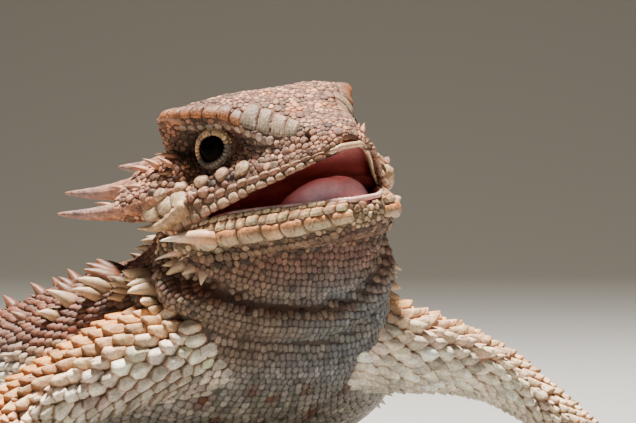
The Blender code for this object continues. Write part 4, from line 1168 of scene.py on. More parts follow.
# Share of the size for height, keel; then tilt, point, edge, rim and crest
REGION_FORM = (
    (is_head, 0.20, 0.02, 0.05, 0.0, 0.45, 0.9, 0.0),
    (throat, 0.17, 0.03, 0.16, 0.12, 0.6, 0.7, 0.0),
    (chest, 0.08, 0.0, 0.14, 0.25, 0.8, 0.5, 0.0),
    (back, 0.12, 0.2, 0.24, 0.5, 0.4, 1.0, 0.25),
    (flank, 0.14, 0.2, 0.34, 0.6, 0.4, 0.9, 0.2),
    (is_limb, 0.12, 0.24, 0.34, 0.8, 0.5, 0.95, 0.3),
    (limb_upper, 0.08, 0.4, 0.38, 1.1, 0.5, 1.1, 0.45),
    (is_hand, 0.16, 0.04, 0.12, 0.1, 0.5, 0.9, 0.0),
)
form = {key: np.zeros(count) for key in FORM_KEYS + LOOK_KEYS}
for own, *values in REGION_FORM:
    for key, value in zip(FORM_KEYS, values):
        form[key][own] = value * (size[own] if key in ("height", "keel") else 1)
form["crest"][is_head] = chance.uniform(-0.12, 0.12, is_head.sum())
form["blush"][limb_upper] = np.clip(up[limb_upper] + 0.45, 0, 1.0)
form["speck"] = 0.85 * (chance.random(count) < np.where(plain_head, 0.36, 0.01))
# Named kinds: height, keel, tilt, point, edge, rim and crest, then colour and its share
KINDS = {
    # The row under the shields is painted dull taupe as shade under the jaw's ledge
    "under_shield": ((0.3, 0.0, 0.1, 0.0, 0.7, 0.8, 0.0), TAUPE, 0.7),
    "under_brow": ((0.22, 0.0, 0.05, 0.0, 0.6, 0.9, 0.0), GREY, 0.5),
    "cheek_big": ((0.36, 0.1, 0.05, 0.0, 0.4, 0.9, 0.0), CREAM * 0.5 + PINK * 0.45, 0.7),
    "cheek_low": ((0.26, 0.05, 0.05, 0.0, 0.5, 0.9, 0.0), PINK, 0.5),
    "temple_plate": ((0.22, 0.12, 0.12, 0.2, 0.4, 0.9, 0.0), CREAM * 0.7, 0.85),
}
for name, (values, *_) in KINDS.items():
    for key, value in zip(FORM_KEYS, values):
        form[key][kind == name] = value
f, _, u = to_skull(place).T
form["height"][is_head & (f < 9) & (u < 8.5)] *= 1.5
on_plain_head, elsewhere = chance.uniform(0.5, 1.5, count), chance.uniform(0.85, 1.15, count)
form["height"] *= np.where(plain_head, on_plain_head, elsewhere)

uneven = np.where(is_head, 0.3, 0.17)[:, None] * chance.normal(0, 1, (count, 1))
varied = base_colour * np.exp(uneven + chance.normal(0, 0.03, (count, 3)))
speckled = chance.random(count) < np.where(is_head, 0.06, 0.02)
varied[speckled & (kind == "plain")] *= 0.45
for name, (_, colour, share) in KINDS.items():
    own = kind == name
    varied[own] = mix(varied[own], colour, np.full(own.sum(), share))
print({name: int((kind == name).sum()) for name in KINDS})

# %% [markdown]
# ## Shields and lip plates
#
# The biggest plates have four sides and stand in rows: shields along the lower jaw, two
# rows on each lip, four before the eye and seven on the brow. Such a plate is a pillow:
# flat in the middle, and steep at its edges as a high power of the distance from it.

# %% Pillow plates
PILLOW_GRID, PILLOW_POWER, PILLOW_SUNK = (21, 11), 5, 0.25
PILLOW_A, PILLOW_B = (
    values.ravel()
    for values in np.meshgrid(*(np.linspace(-1, 1, n) for n in PILLOW_GRID), indexing="ij")
)
PILLOW_PATCH = PATCH * np.stack([PILLOW_A, PILLOW_B], axis=-1)
SECTIONS = {"skull": (skull_side, from_skull), "jaw": (jaw_side, from_jaw)}


def on_section(side_function, f, at):
    """Places on the sections at pairs of f and at."""
    number = np.arange(len(f))
    return side_function(f, at)[number, number]


def row_edges(side_function, first_f, last_f, at, number):
    """Edges of a row's plates, evenly spaced along the row's own length."""
    fine = np.linspace(first_f, last_f, 200)
    length = lengths_along(side_function(fine, [at])[:, 0])
    step = np.arange(number + 1) + np.pad(chance.uniform(-0.12, 0.12, number - 1), 1)
    return np.interp(step / number * length[-1], length, fine)


def pillow(side_function, f_range, at_range, height, ridge, corner):
    """Places and heights of one plate: section places lifted by (1 - |a|^5)^0.4 (1 - |b|^5)^0.4."""
    a, b = np.sin(PILLOW_A * math.pi / 2), np.sin(PILLOW_B * math.pi / 2)
    f_middle, f_half = np.mean(f_range), (f_range[1] - f_range[0]) / 2
    at_middle, at_half = np.mean(at_range), (at_range[1] - at_range[0]) / 2
    f = f_middle + f_half * a * (0.97 - corner * b**4)
    at = at_middle + at_half * b * (0.97 - corner * a**4)
    place = on_section(side_function, f, at)
    ahead = on_section(side_function, f + 0.03, at) - on_section(side_function, f - 0.03, at)
    around = on_section(side_function, f, at + 0.01) - on_section(side_function, f, at - 0.01)
    normal = unit(np.cross(ahead, around))
    middle = place.mean(axis=0)
    inside = (middle[0] - 1, 0, 2.5 if middle[2] > 2 else -1)
    if normal.mean(axis=0) @ (middle - inside) < 0:
        normal = -normal
    rise = ((1 - np.abs(a) ** PILLOW_POWER) * (1 - np.abs(b) ** PILLOW_POWER)).clip(0) ** 0.4
    keel = ridge * np.exp(-((b / 0.35) ** 2)) * rise
    waver = 0.05 * height * np.sin(5 * a + chance.uniform(0, 6)) * rise
    return place + (rise * height + keel + waver - PILLOW_SUNK)[:, None] * normal, rise, a, b


CANTHAL_GREY = CREAM * 0.28 + GREY * 0.3
# Section, f from and to, number, at from and to, height, ridge, corner, colour, then the
# upper colour and its share, below zero where it lies on the other edge
PLATE_ROWS = (
    ("jaw", 19.6, 3.6, 7, 3.68, 4.4, 0.6, 0.12, 0.08, CREAM * 0.75, ORANGE * 0.9, 0.95),
    ("jaw", 19.3, 2.2, 15, 3.24, 3.68, 0.5, 0.0, 0.12, CREAM * 0.75, ORANGE, 0.7),
    ("jaw", 19.2, 1.8, 18, 2.84, 3.24, 0.42, 0.0, 0.12, CREAM * 0.8, RUST, 0.6),
    ("skull", 19.1, 1.2, 17, 4.62, 5.62, 0.5, 0.1, 0.3, PINK * 0.9, CREAM * 0.8, 0.7),
    ("skull", 18.4, 3.2, 13, 4.3, 4.64, 0.45, 0.1, 0.3, PINK * 0.95, CREAM * 0.8, 0.5),
    ("skull", 15.6, 10.4, 4, 1.06, 2.1, 0.42, 0.08, 0.1, CANTHAL_GREY, PINK * 0.7, 0.6),
    ("skull", 10.4, 2.2, 7, 1.42, 2.1, 0.42, 0.1, 0.1, PINK * 0.55, ORANGE * 0.85, -0.75),
)
# PLATE_GROOVE_SHADE paints shade into the grooves round each plate
PLATE_GROOVE_SHADE, PLATE_SPECKS, STREAKS = 0.12, 0.05, 0.42


def plate_row(
    section, first_f, last_f, number, low_at, high_at, height, ridge, corner, colour, upper, share
):
    """Arrays of a row's pillows on both sides of the head."""
    side_function, place_function = SECTIONS[section]
    edges = row_edges(side_function, first_f, last_f, (low_at + high_at) / 2, number)
    quads = grid_quads(*PILLOW_GRID, False)
    halves = np.concatenate([quads[:, [0, 1, 2]], quads[:, [0, 2, 3]]])
    streaks = STREAKS if ridge > 0 and section == "skull" else 0.4 * STREAKS
    parts = []
    for mirror in (1, -1):
        for first, last in zip(edges[:-1], edges[1:]):
            shift = chance.uniform(-0.04, 0.04)
            place, rise, a, b = pillow(
                side_function, (first, last), (low_at + shift, high_at + shift),
                height * chance.uniform(0.65, 1.25), ridge, corner,
            )
            spot = place_function(place * (1, mirror, 1))
            sides = spot[halves][:, 1:] - spot[halves][:, :1]
            face = np.cross(sides[:, 0], sides[:, 1]).sum(axis=0)
            outwards = spot[rise > 0.5].mean(axis=0) - spot[rise < 0.1].mean(axis=0)
            triangles = halves if face @ outwards > 0 else halves[:, ::-1]
            tone = colour * chance.uniform(0.86, 1.12) * np.exp(chance.normal(0, 0.04, 3))
            upper_share = abs(share) * np.clip(0.35 - math.copysign(1, share) * b, 0, 1)
            tint = mix(plain(tone, len(b)), upper, upper_share)
            stripes = 0.5 + 0.5 * np.sin(15 * a + chance.uniform(0, 6))
            tint = tint * (1 - streaks * stripes * rise)[:, None]
            specks = chance.random(len(b)) < PLATE_SPECKS
            tint = mix(tint, BROWN, 0.8 * specks * (rise > 0.8))
            # Painted shade: each plate darkens towards its sunk edges
            tint = mix(tint * PLATE_GROOVE_SHADE, tint, np.clip(1.6 * rise - 0.15, 0, 1))
            patch = head_atlas(spot.mean(axis=0)[None]) + PILLOW_PATCH
            parts.append((spot, triangles, tint, patch))
    return parts


pillow_parts = [part for row in PLATE_ROWS for part in plate_row(*row)]
pillow_plates = mesh_from("pillow_plates", *join_parts(pillow_parts))
pillow_points = np.concatenate([part[0] for part in pillow_parts])
print("pillow plates:", len(pillow_parts))

# %% [markdown]
# ## The wet inside of the mouth
#
# Palate and floor are sheets that follow the same sections as the skull and the jaw, a
# hair's breadth inside them. A pale gum runs along the lower lip and a rounded edge along
# the upper one. The tongue is a smooth dome with a shallow groove.

# %% Mouth
def sheet_piece(name, grid, thickness):
    """An open grid made a thin closed wall by Solidify."""
    rows, columns = grid.shape[:2]
    item = mesh_from(name, grid.reshape(-1, 3), grid_quads(rows, columns, False))
    wall = item.modifiers.new("wall", "SOLIDIFY")
    wall.thickness = thickness * MM
    wall.offset = 0
    settle(item)
    return item


LINING_GAP, LINING_THICKNESS = 0.14, 0.12


def lining(name, section, last_f, at_range, gap):
    """A thin sheet along the inner stretch of the sections, at a small gap from them."""
    side_function, place_function = SECTIONS[section]
    right = side_function(np.linspace(-2.6, last_f, 80), np.linspace(*at_range, 24))
    right[..., 2] += gap
    grid = np.concatenate([right, right[:, -2::-1] * (1, -1, 1)], axis=1)
    return sheet_piece(name, place_function(grid), LINING_THICKNESS)


palate = lining("palate", "skull", 18.9, (6.1, 8), -LINING_GAP)
mouth_floor = lining("mouth_floor", "jaw", 19.4, (2.55, 0), LINING_GAP)

MOUTH_RED = np.array([0.66, 0.12, 0.11])
MOUTH_PINK = np.array([0.92, 0.46, 0.44])
GUM_PALE = np.array([0.74, 0.46, 0.40])
TONGUE_PALE = np.array([0.95, 0.58, 0.62])
for item, along_f in ((palate, to_skull), (mouth_floor, to_jaw)):
    f, r, _ = along_f(mesh_points(item)).T
    front = np.clip((f - 9) / 9, 0, 1)
    set_tint(item.data, mix(plain(MOUTH_RED, len(f)), MOUTH_PINK, 0.75 * front))


def lip_ridge(name, section, first_f, last_f, at, thickness, lift, colour):
    """A rounded ridge along a lip from corner to corner, round the front, with low bumps."""
    side_function, place_function = SECTIONS[section]
    f = first_f - (first_f - last_f) * (1 - np.cos(np.linspace(0, math.pi / 2, 90)))
    right = side_function(f, [at])[:, 0]
    line = np.concatenate([right[::-1], right * (1, -1, 1)])
    turn = full_turn(12)[None, :]
    step = np.gradient(line, axis=0)
    side = unit(np.cross(step, (0.0, 0.0, 1.0)))
    bumps = 1 + 0.06 * np.sin(np.arange(len(line)) * 1.3)
    ends = np.sin(np.linspace(0.02, math.pi - 0.02, len(line))) ** 0.3
    radius = (thickness * bumps * ends)[:, None]
    rings = line[:, None] + (radius * np.cos(turn))[..., None] * side[:, None]
    rings[..., 2] += radius * np.sin(turn) + lift
    item, points = closed_tube(name, place_function(rings))
    set_tint(item.data, plain(colour, len(points)))
    return item


gum = lip_ridge("gum", "jaw", 19.4, 2.0, 2.45, 0.3, -0.05, GUM_PALE)
upper_lip = lip_ridge("upper_lip", "skull", 19.2, 2.0, 5.95, 0.34, 0.15, CREAM * 0.7 + PINK * 0.2)


def tongue_dome(name):
    """A dome on the mouth's floor: width and height follow the half circle of its length."""
    turn = np.linspace(0.08, math.pi - 0.08, 60)
    f = 11.0 - 6.0 * np.cos(turn)
    width = 4.6 * np.sin(turn) ** 0.6 * glide(f, (5.0, 11.0, 17.0), (1.15, 1.0, 0.72))
    height = 3.6 * np.sin(turn) ** 0.5 * glide(f, (5.0, 11.0, 17.0), (0.7, 1.0, 1.05))
    around = full_turn(64)[None, :]
    side = width[:, None] * np.cos(around)
    lift = np.maximum(np.sin(around), 0) ** 0.9
    groove = 0.16 * np.exp(-((side / 0.5) ** 2)) * lift
    rise = height[:, None] * (lift - groove * 0.35) - 0.15 * np.maximum(-np.sin(around), 0)
    f = np.broadcast_to(f[:, None], side.shape)
    item, points = closed_tube(name, from_jaw(np.stack([f, side, rise], axis=-1)))
    front = np.clip((f.ravel() - 7) / 6, 0, 1)
    set_tint(item.data, mix(plain(MOUTH_RED * 1.2, len(points)), TONGUE_PALE, front))
    return item


tongue = tongue_dome("tongue_surface")
graph = bpy.context.evaluated_depsgraph_get()
lining_trees = [BVHTree.FromObject(item, graph) for item in (palate, mouth_floor)]
LINING_NEAR = 0.4 * MM


def in_mouth_at(points):
    """Which places lie on the palate or on the mouth's floor."""
    near_lining = np.zeros(len(points), bool)
    for number, spot in enumerate(points * MM):
        near_lining[number] = any(
            tree.find_nearest(Vector(spot), LINING_NEAR)[0] is not None for tree in lining_trees
        )
    return near_lining


# %% [markdown]
# ## Eyes and lids
#
# The eye is a wet black ball with a very dark iris. Round it the lids are a dome that
# leaves an opening a little wider than high. Rings of small scales lie on the dome, and
# the rows at the opening's edge are orange above, painted brighter as light from above,
# and dark grey below.

# %% Eyes
EYE_RADIUS = 2.2
LID_OUT = unit((0.55, 1.0, -0.08))
OPENING, OPENING_SHAPE = math.radians(44), 0.12
EYE_BLACK, IRIS = np.array([0.001, 0.0008, 0.0008]), np.array([0.005, 0.0025, 0.0015])
# The upper lid's cream-orange, brightened as painted light from above
LID_LIT_ORANGE = np.array([1.0, 0.62, 0.3])


def eye_frame(side):
    """Centre of an eye, its outward direction, and the directions to front and top across it."""
    out = LID_OUT * (1, side, 1)
    front = unit(np.array([1.0, 0, 0]) - out[0] * out)
    return EYE_PLACE * (1, side, 1), out, front, unit(np.array([0, 0, 1.0]) - out[2] * out)


def opening_at(turn):
    """Half angle of the lids' opening: wider to front and rear than up and down."""
    return OPENING * (1 + OPENING_SHAPE * np.cos(2 * turn))


def around_eye(side, polar, turn, radius):
    """Places at a polar angle from the outward direction and a turn from front to top."""
    centre, out, front, top = eye_frame(side)
    spoke = np.cos(turn)[..., None] * front + np.sin(turn)[..., None] * top
    direction = np.cos(polar)[..., None] * out + np.sin(polar)[..., None] * spoke
    return centre + np.asarray(radius)[..., None] * direction


def eyeball(name, side):
    """A ball in rings round its outward direction, black with a very dark ring for the iris."""
    polar = np.linspace(0.01, math.pi - 0.01, 48)[:, None] + np.zeros(64)
    turn = np.zeros((48, 1)) + full_turn(64)
    grid = around_eye(side, polar, turn, np.full(polar.shape, EYE_RADIUS))
    item, points = closed_tube(name, from_skull(grid))
    ring = np.exp(-(((polar.ravel() - 0.5) / 0.14) ** 2))
    set_tint(item.data, mix(plain(EYE_BLACK, len(points)), IRIS, ring))
    return item


# Profile of the lids' shell: angle past the opening's edge and distance from the ball's centre
LID_PROFILE = np.array([
    (0.0, 2.24), (0.01, 2.4), (0.06, 2.56), (0.18, 2.6), (0.32, 2.54), (0.41, 2.34), (0.54, 2.44),
    (0.66, 2.36), (0.8, 2.42), (0.95, 2.36), (1.1, 2.38), (1.35, 2.34), (1.35, 2.22), (0.7, 2.22),
    (0.2, 2.22),
])


def lid_dome(name, side):
    """A shell over the ball: the closed profile, carried once round the opening."""
    beyond, radius = LID_PROFILE.T
    count = 72
    turn = full_turn(count)[:, None] + np.zeros(len(LID_PROFILE))
    grid = around_eye(side, opening_at(turn) + beyond, turn, np.broadcast_to(radius, turn.shape))
    quads = grid_quads(count + 1, len(LID_PROFILE), True) % (count * len(LID_PROFILE))
    points = from_skull(grid).reshape(-1, 3)
    item = new_mesh(name, points, outward(points, quads.tolist()))
    above = np.clip(np.sin(turn.ravel()) * 2, 0, 1)
    inner = np.broadcast_to(beyond, turn.shape).ravel() < 0.35
    set_tint(item.data, mix(plain(TAUPE * 0.7, len(points)), CREAM * 0.8, 0.8 * above * inner))
    return item


# Rows of lid scales: angle past the opening's edge, width, distance from the ball's centre
LID_ROWS = (
    (0.11, 0.44, 2.5), (0.28, 0.34, 2.5), (0.43, 0.26, 2.34), (0.55, 0.3, 2.4), (0.67, 0.3, 2.34),
    (0.81, 0.34, 2.38), (0.96, 0.36, 2.33), (1.12, 0.4, 2.34), (1.27, 0.44, 2.3),
)
LID_FORM = {"tilt": 0.05, "edge": 0.4, "rim": 0.8}


def lid_rows(side):
    """Seeds of the lids' scales: rings that widen outwards, with the scales growing in size."""
    found = []
    for row, (polar, wide, radius) in enumerate(LID_ROWS):
        count = int(2 * math.pi * radius * math.sin(min(OPENING + polar, 1.6)) / wide)
        turn = (np.arange(count) + 0.5 * (row % 2)) / count * 2 * math.pi
        at = opening_at(turn) + polar
        place = around_eye(side, at, turn, np.full(count, radius))
        above = np.clip(np.sin(turn) * 2.5 + 0.5, 0, 1)
        # Upper rows take the orange painted brighter as light
        edge = mix(plain(GREY * 0.45, count), LID_LIT_ORANGE, above)
        edge = mix(edge, BROWN, 0.7 * (chance.random(count) < 0.14))
        fold = mix(plain(TAUPE * 0.75, count), RUST, 0.6 * above)
        ahead = np.clip(np.cos(turn) - 0.3, 0, 1)
        fold = mix(fold, ORANGE * 0.7, 0.9 * ahead)
        colour = edge if row < 2 else mix(fold, GREY, (0.15 if row % 2 else 0.5) * (1 - above))
        found.append((place, np.full(count, wide), colour))
    place, size, colour = (np.concatenate(values) for values in zip(*found))
    outwards = unit(place - EYE_PLACE * (1, side, 1))
    lie = unit(outwards - eye_frame(side)[1])
    return from_skull(place), opened(outwards) @ HEAD, opened(lie) @ HEAD, size, colour


eye_pieces, lid_pieces, lid_parts = {}, {}, []
for side, name in ((1, "right"), (-1, "left")):
    eye_pieces[name] = eyeball(f"eyeball_{name}", side)
    lid_pieces[name] = lid_dome(f"eyelids_{name}", side)
    lid_place, lid_normal, lid_lie, lid_size, lid_colour = lid_rows(side)
    lid_colour = lid_colour * np.exp(chance.normal(0, 0.15, (len(lid_size), 1)))
    lid_form = {key: np.full(len(lid_size), LID_FORM.get(key, 0.0)) for key in form}
    lid_form["height"] = 0.26 * lid_size
    lid_parts.append(plates(
        lid_place, lid_normal, lid_lie, lid_size, lid_form, lid_colour, head_atlas(lid_place),
        "small", 8,
    ))
lid_scales = mesh_from("lid_scales", *join_parts(lid_parts))
print("lid scales:", len(lid_scales.data.polygons), "triangles")

# %% [markdown]
# ## Horns
#
# Five horns stand on each side of the crown. A horn is an oval cone on a bowed line. Low
# rings of growth and fine grooves along it catch the light. It is orange at the root and
# grey-brown towards the tip, which is orange again.

# %% Horns
HORNS = {
    "horn_occipital_inner": ((-2.2, 2.2, 10.2), (-10.4, 3.4, 12.4), 1.9, 1.5),
    "horn_occipital_outer": ((-1.8, 6.4, 9.8), (-14.0, 9.8, 12.8), 2.1, 1.7),
    "horn_temporal_rear": ((-0.8, 10.2, 7.4), (-14.8, 16.8, 11.0), 2.1, 1.7),
    "horn_temporal_middle": ((1.0, 11.9, 4.6), (-8.6, 21.5, 7.2), 2.0, 1.6),
    "horn_temporal_front": ((3.5, 12.5, 2.4), (-2.4, 15.7, 2.5), 1.4, 1.0),
}
HORN_RINGS, HORN_SIDES = 44, 28
HORN_GREY = np.array([0.36, 0.24, 0.22])
FRONT_HORN_SAND = np.array([0.62, 0.42, 0.22])


def horn(name, root, tip, wide, thick, side):
    """Ovals on a bowed line: each shrinks with its distance, swollen a little by growth rings."""
    root, tip = np.array(root), np.array(tip)
    t = np.linspace(-0.06, 0.995, HORN_RINGS)[:, None]
    turn = full_turn(HORN_SIDES)[None, :]
    bow = 0.8 * np.sin(math.pi * np.clip(t, 0, 1)) * np.array([0.0, 0.25, -1.0])
    middle = root + (tip - root) * t + bow
    ahead = unit(tip - root)
    across = unit(np.cross(ahead, (0.0, 0.0, 1.0)))
    lift = np.cross(across, ahead)
    taper = 0.94 * (1 - np.clip(t, 0, 1)) ** 0.75 + 0.06
    growth = 1 + 0.035 * np.sin(2 * math.pi * 7 * (t + 0.02 * np.sin(3 * turn))) * (1 - t) ** 0.5
    grooves = 1 + 0.03 * np.sin(9 * turn + 2 * t) * (1 - t)
    scale = taper * growth * grooves * 0.98
    ring = (wide * np.cos(turn))[..., None] * across + (thick * np.sin(turn))[..., None] * lift
    grid = middle[:, None, :] + scale[..., None] * ring
    grid[..., 1] *= side
    item, points = closed_tube(name, from_skull(grid))
    t, turn = (np.broadcast_to(a, scale.shape).ravel() for a in (np.clip(t, 0, 1), turn))
    above = np.clip(0.5 + 0.8 * np.sin(turn), 0, 1)
    colour = mix(plain(mix(ORANGE, PINK, 0.4), len(points)), PINK * 1.1, above)
    colour = mix(colour, HORN_GREY, 0.8 * np.clip((t - 0.35) / 0.5, 0, 1))
    colour = mix(colour, ORANGE * 0.7, 0.5 * np.clip((t - 0.8) / 0.2, 0, 1))
    if "front" in name:
        colour = mix(colour, FRONT_HORN_SAND, np.full(len(points), 0.75))
    set_tint(item.data, colour * (0.6 + 0.4 * waves(points, 1.3, 9))[:, None])
    return item


horns = {}
for node, (root, tip, wide, thick) in HORNS.items():
    for side, name in ((1, "right"), (-1, "left")):
        horns[f"{node}_{name}"] = horn(f"{node}_{name}_sheath", root, tip, wide, thick, side)
print("horns:", len(horns))

# %% [markdown]
# ## Spines
#
# Two fringes of spines run along each flank, rows of larger ones stand on the back, each in
# a ring of small ones, and clusters bristle behind the jaw. A spine is a cone on a bent
# line, with the colour of the skin at its root and paler at its tip.

# %% Spines
SPINE_AT = np.array([-0.12, 0.0, 0.22, 0.48, 0.74, 0.93])
SPINE_WIDTH = np.array([0.4, 0.95, 0.85, 0.6, 0.33, 0.11])
SPINE_BOW, SPINE_FLAT = 0.05, 0.72
SPINE_SUNK, BLADE_SUNK = 0.3, 0.35


def spine_parts(root, tip, radius, out, low, high, atlas, sides=7):
    """Cones along bent lines: the middle is the chord plus a bow outwards, narrowing to a point."""
    ahead = tip - root
    length = np.linalg.norm(ahead, axis=1)
    heading = unit(ahead)
    across = unit(np.cross(heading, out) + 1e-6)
    lift = np.cross(across, heading)
    bow = SPINE_BOW * length[:, None] * np.sin(math.pi * SPINE_AT)
    middle = root[:, None] + SPINE_AT[:, None] * ahead[:, None] + bow[..., None] * lift[:, None]
    turn = full_turn(sides)
    wide = radius[:, None, None] * SPINE_WIDTH[:, None]
    ring = (wide * np.cos(turn))[..., None] * across[:, None, None]
    ring = ring + (SPINE_FLAT * wide * np.sin(turn))[..., None] * lift[:, None, None]
    points = (middle[:, :, None] + ring).reshape(len(root), -1, 3)
    points = np.concatenate([points, tip[:, None]], axis=1)
    share = np.concatenate([np.repeat(SPINE_AT, sides), [1.0]]) ** 2
    shades = low[:, None] * (1 - share[:, None]) + high[:, None] * share[:, None]
    circle = np.tile(np.stack([np.cos(turn), np.sin(turn)], axis=-1), (len(SPINE_AT), 1))
    offsets = PATCH * (1 - np.repeat(SPINE_AT, sides))[:, None] * circle
    patches = atlas[:, None] + np.concatenate([offsets, [[0.0, 0.0]]])
    numbers = (np.arange(len(root)) * points.shape[1])[:, None, None]
    triangles = ring_fan(sides, len(SPINE_AT)) + numbers
    return (
        points.reshape(-1, 3), triangles.reshape(-1, 3), shades.reshape(-1, 3),
        patches.reshape(-1, 2),
    )


def trunk_atlas(along, turn):
    """The trunk unwrapped: by the place along its middle line and the turn round it."""
    round_trunk = (turn % (2 * math.pi)) / (2 * math.pi)
    return np.stack([along / TRUNK_ALONG[-1], 0.5 + 0.5 * round_trunk], axis=-1)


def trunk_row(first_y, last_y, number, first_turn, last_turn, first_length, last_length, radius):
    """Roots, tips, radii, directions and bake places of one row on both sides of the trunk."""
    y = np.tile(np.linspace(first_y, last_y, number) + chance.uniform(-0.5, 0.5, number), 2)
    turn = np.linspace(first_turn, last_turn, number) + chance.uniform(-2, 2, number)
    turn = np.radians(np.concatenate([turn, 180 - turn]))
    length = np.tile(np.linspace(first_length, last_length, number), 2)
    length = length * chance.uniform(0.84, 1.16, 2 * number)
    along = along_trunk(y)
    place, out, _ = on_skin(trunk(along, turn))
    rearward = unit(trunk(along - 0.1, turn) - trunk(along + 0.1, turn))
    lean = unit(out + 0.7 * rearward)
    radius, atlas = np.full(2 * number, radius), trunk_atlas(along, turn)
    return place - SPINE_SUNK * out, place + length[:, None] * lean, radius, out, atlas


# Y from and to, number, turn in degrees from and to, length from and to, radius
TRUNK_SPINE_ROWS = (
    (-9.5, 15.0, 13, -6, -8, 2.8, 2.4, 0.75),
    (-8.5, 18.0, 16, -17, -19, 1.8, 1.4, 0.5),
    (-8.0, 17.0, 12, 8, 8, 1.6, 1.4, 0.55),
    (-7.0, 15.5, 5, 28, 31, 1.9, 1.8, 0.95),
    (-10.0, 27.0, 7, 46, 54, 2.2, 1.9, 1.05),
    (-9.0, 32.0, 8, 63, 66, 2.4, 1.8, 1.1),
    (-11.0, 33.0, 7, 81, 80, 2.2, 1.6, 1.0),
    (45.0, 71.0, 9, -8, -4, 1.8, 0.8, 0.6),
    (46.0, 68.0, 6, 55, 50, 1.5, 0.8, 0.6),
    (47.0, 70.0, 8, 25, 22, 1.2, 0.7, 0.45),
)
rows = [trunk_row(*row) for row in TRUNK_SPINE_ROWS]

# Clusters on the neck: place along the trunk, turn in degrees, number of blades, length, radius
NECK_CLUSTERS = (
    (101.5, 145, 5, 4.2, 1.7), (96.6, 150, 3, 3.0, 1.35), (108.4, 172, 5, 3.8, 1.6),
    (104.6, 160, 4, 2.6, 1.0), (112.6, 186, 3, 2.8, 1.0), (114.0, 201, 2, 2.2, 0.8),
    (106.0, 130, 3, 2.6, 1.0), (101.0, 118, 3, 2.4, 1.0),
)


def neck_cluster(along, turn, number, length, radius):
    """Broad blades side by side on both sides of the neck, fanned outwards and to the rear."""
    spread = np.linspace(-1, 1, number) + chance.uniform(-0.15, 0.15, number)
    along = np.tile(along - 0.9 * np.abs(spread) * radius, 2)
    turn = math.radians(turn) + 0.075 * radius * spread
    turn = np.concatenate([turn, math.pi - turn])
    spread = np.tile(spread, 2)
    place, out, _ = on_skin(trunk(along, turn))
    rearward = unit(trunk(along - 0.1, turn) - trunk(along + 0.1, turn))
    sideways = unit(trunk(along, turn + 0.01) - trunk(along, turn - 0.01))
    lean = unit(out + 0.75 * rearward + 0.35 * spread[:, None] * sideways)
    long = length * (1 - 0.25 * np.abs(spread)) * chance.uniform(0.85, 1.1, 2 * number)
    width = radius * chance.uniform(0.8, 1.1, 2 * number)
    atlas = trunk_atlas(along, turn)
    return place - BLADE_SUNK * out, place + long[:, None] * lean, width, out, atlas


ringed = sum(len(row[2]) for row in rows)
rows += [neck_cluster(*cluster) for cluster in NECK_CLUSTERS]
root, tip, radius, out, spine_atlas = (np.concatenate(values) for values in zip(*rows))


def rosettes(root, tip, radius, out, atlas, number=7):
    """Small spines in a ring round each large one, leaning away from it."""
    along, across = tangents(out, tip - root)
    turn = full_turn(number)[None, :] + chance.uniform(0, 1, (len(root), 1))
    radial = np.cos(turn)[..., None] * along[:, None] + np.sin(turn)[..., None] * across[:, None]
    small_root = root[:, None] + 1.1 * radius[:, None, None] * radial
    lean = unit(out[:, None] + 0.9 * radial)
    length = 0.42 * np.linalg.norm(tip - root, axis=1)[:, None]
    length = length * chance.uniform(0.7, 1.3, turn.shape)
    small_tip = small_root + length[..., None] * lean
    spread = atlas[:, None] + PATCH * np.stack([np.cos(turn), np.sin(turn)], axis=-1)
    return (
        small_root.reshape(-1, 3), small_tip.reshape(-1, 3),
        np.repeat(0.42 * radius, number), np.repeat(out, number, axis=0), spread.reshape(-1, 2),
    )


ringed_and_clustered = len(radius)
large = (radius > 0.72) & (np.arange(len(radius)) < ringed)
ring_of_small = rosettes(root[large], tip[large], radius[large], out[large], spine_atlas[large])
root, tip, radius, out, spine_atlas = (
    np.concatenate(pair) for pair in zip((root, tip, radius, out, spine_atlas), ring_of_small)
)
number = np.arange(len(root))
clustered = (number >= ringed) & (number < ringed_and_clustered) & (out[:, 2] < 0.75)
low = mix(trunk_colour(root, out), RUST * 0.5, 0.6 * np.clip(2 * out[:, 2] + 0.2, 0.1, 1))
low = mix(low, CREAM * 0.6, 0.6 * clustered)
pale = np.where(clustered, 0.85, np.clip(0.9 - 1.2 * out[:, 2], 0.05, 0.85))
high = mix(low * 1.2, CREAM, pale)
trunk_spines = mesh_from(
    "trunk_spines", *spine_parts(root, tip, radius, out, low, high, spine_atlas)
)

# For each limb and stretch between two joints the rows: share from and to, number, turn in
# degrees, length and radius
LIMB_SPINE_ROWS = {
    "arm": {
        (1, 2): (
            (0.3, 0.95, 7, 150, 1.7, 0.65), (0.3, 0.9, 6, 112, 1.3, 0.55),
            (0.35, 0.9, 5, 75, 1.4, 0.6),
        ),
        (2, 3): ((0.15, 0.85, 6, 150, 1.3, 0.5), (0.2, 0.8, 5, 100, 1.0, 0.42)),
    },
    "leg": {
        (1, 2): (
            (0.5, 0.92, 5, 165, 1.8, 0.7), (0.5, 0.9, 5, 122, 1.4, 0.6),
            (0.5, 0.9, 5, 80, 1.4, 0.6),
        ),
        (2, 3): ((0.1, 0.8, 6, 150, 1.3, 0.5), (0.15, 0.8, 5, 90, 1.0, 0.42)),
    },
}


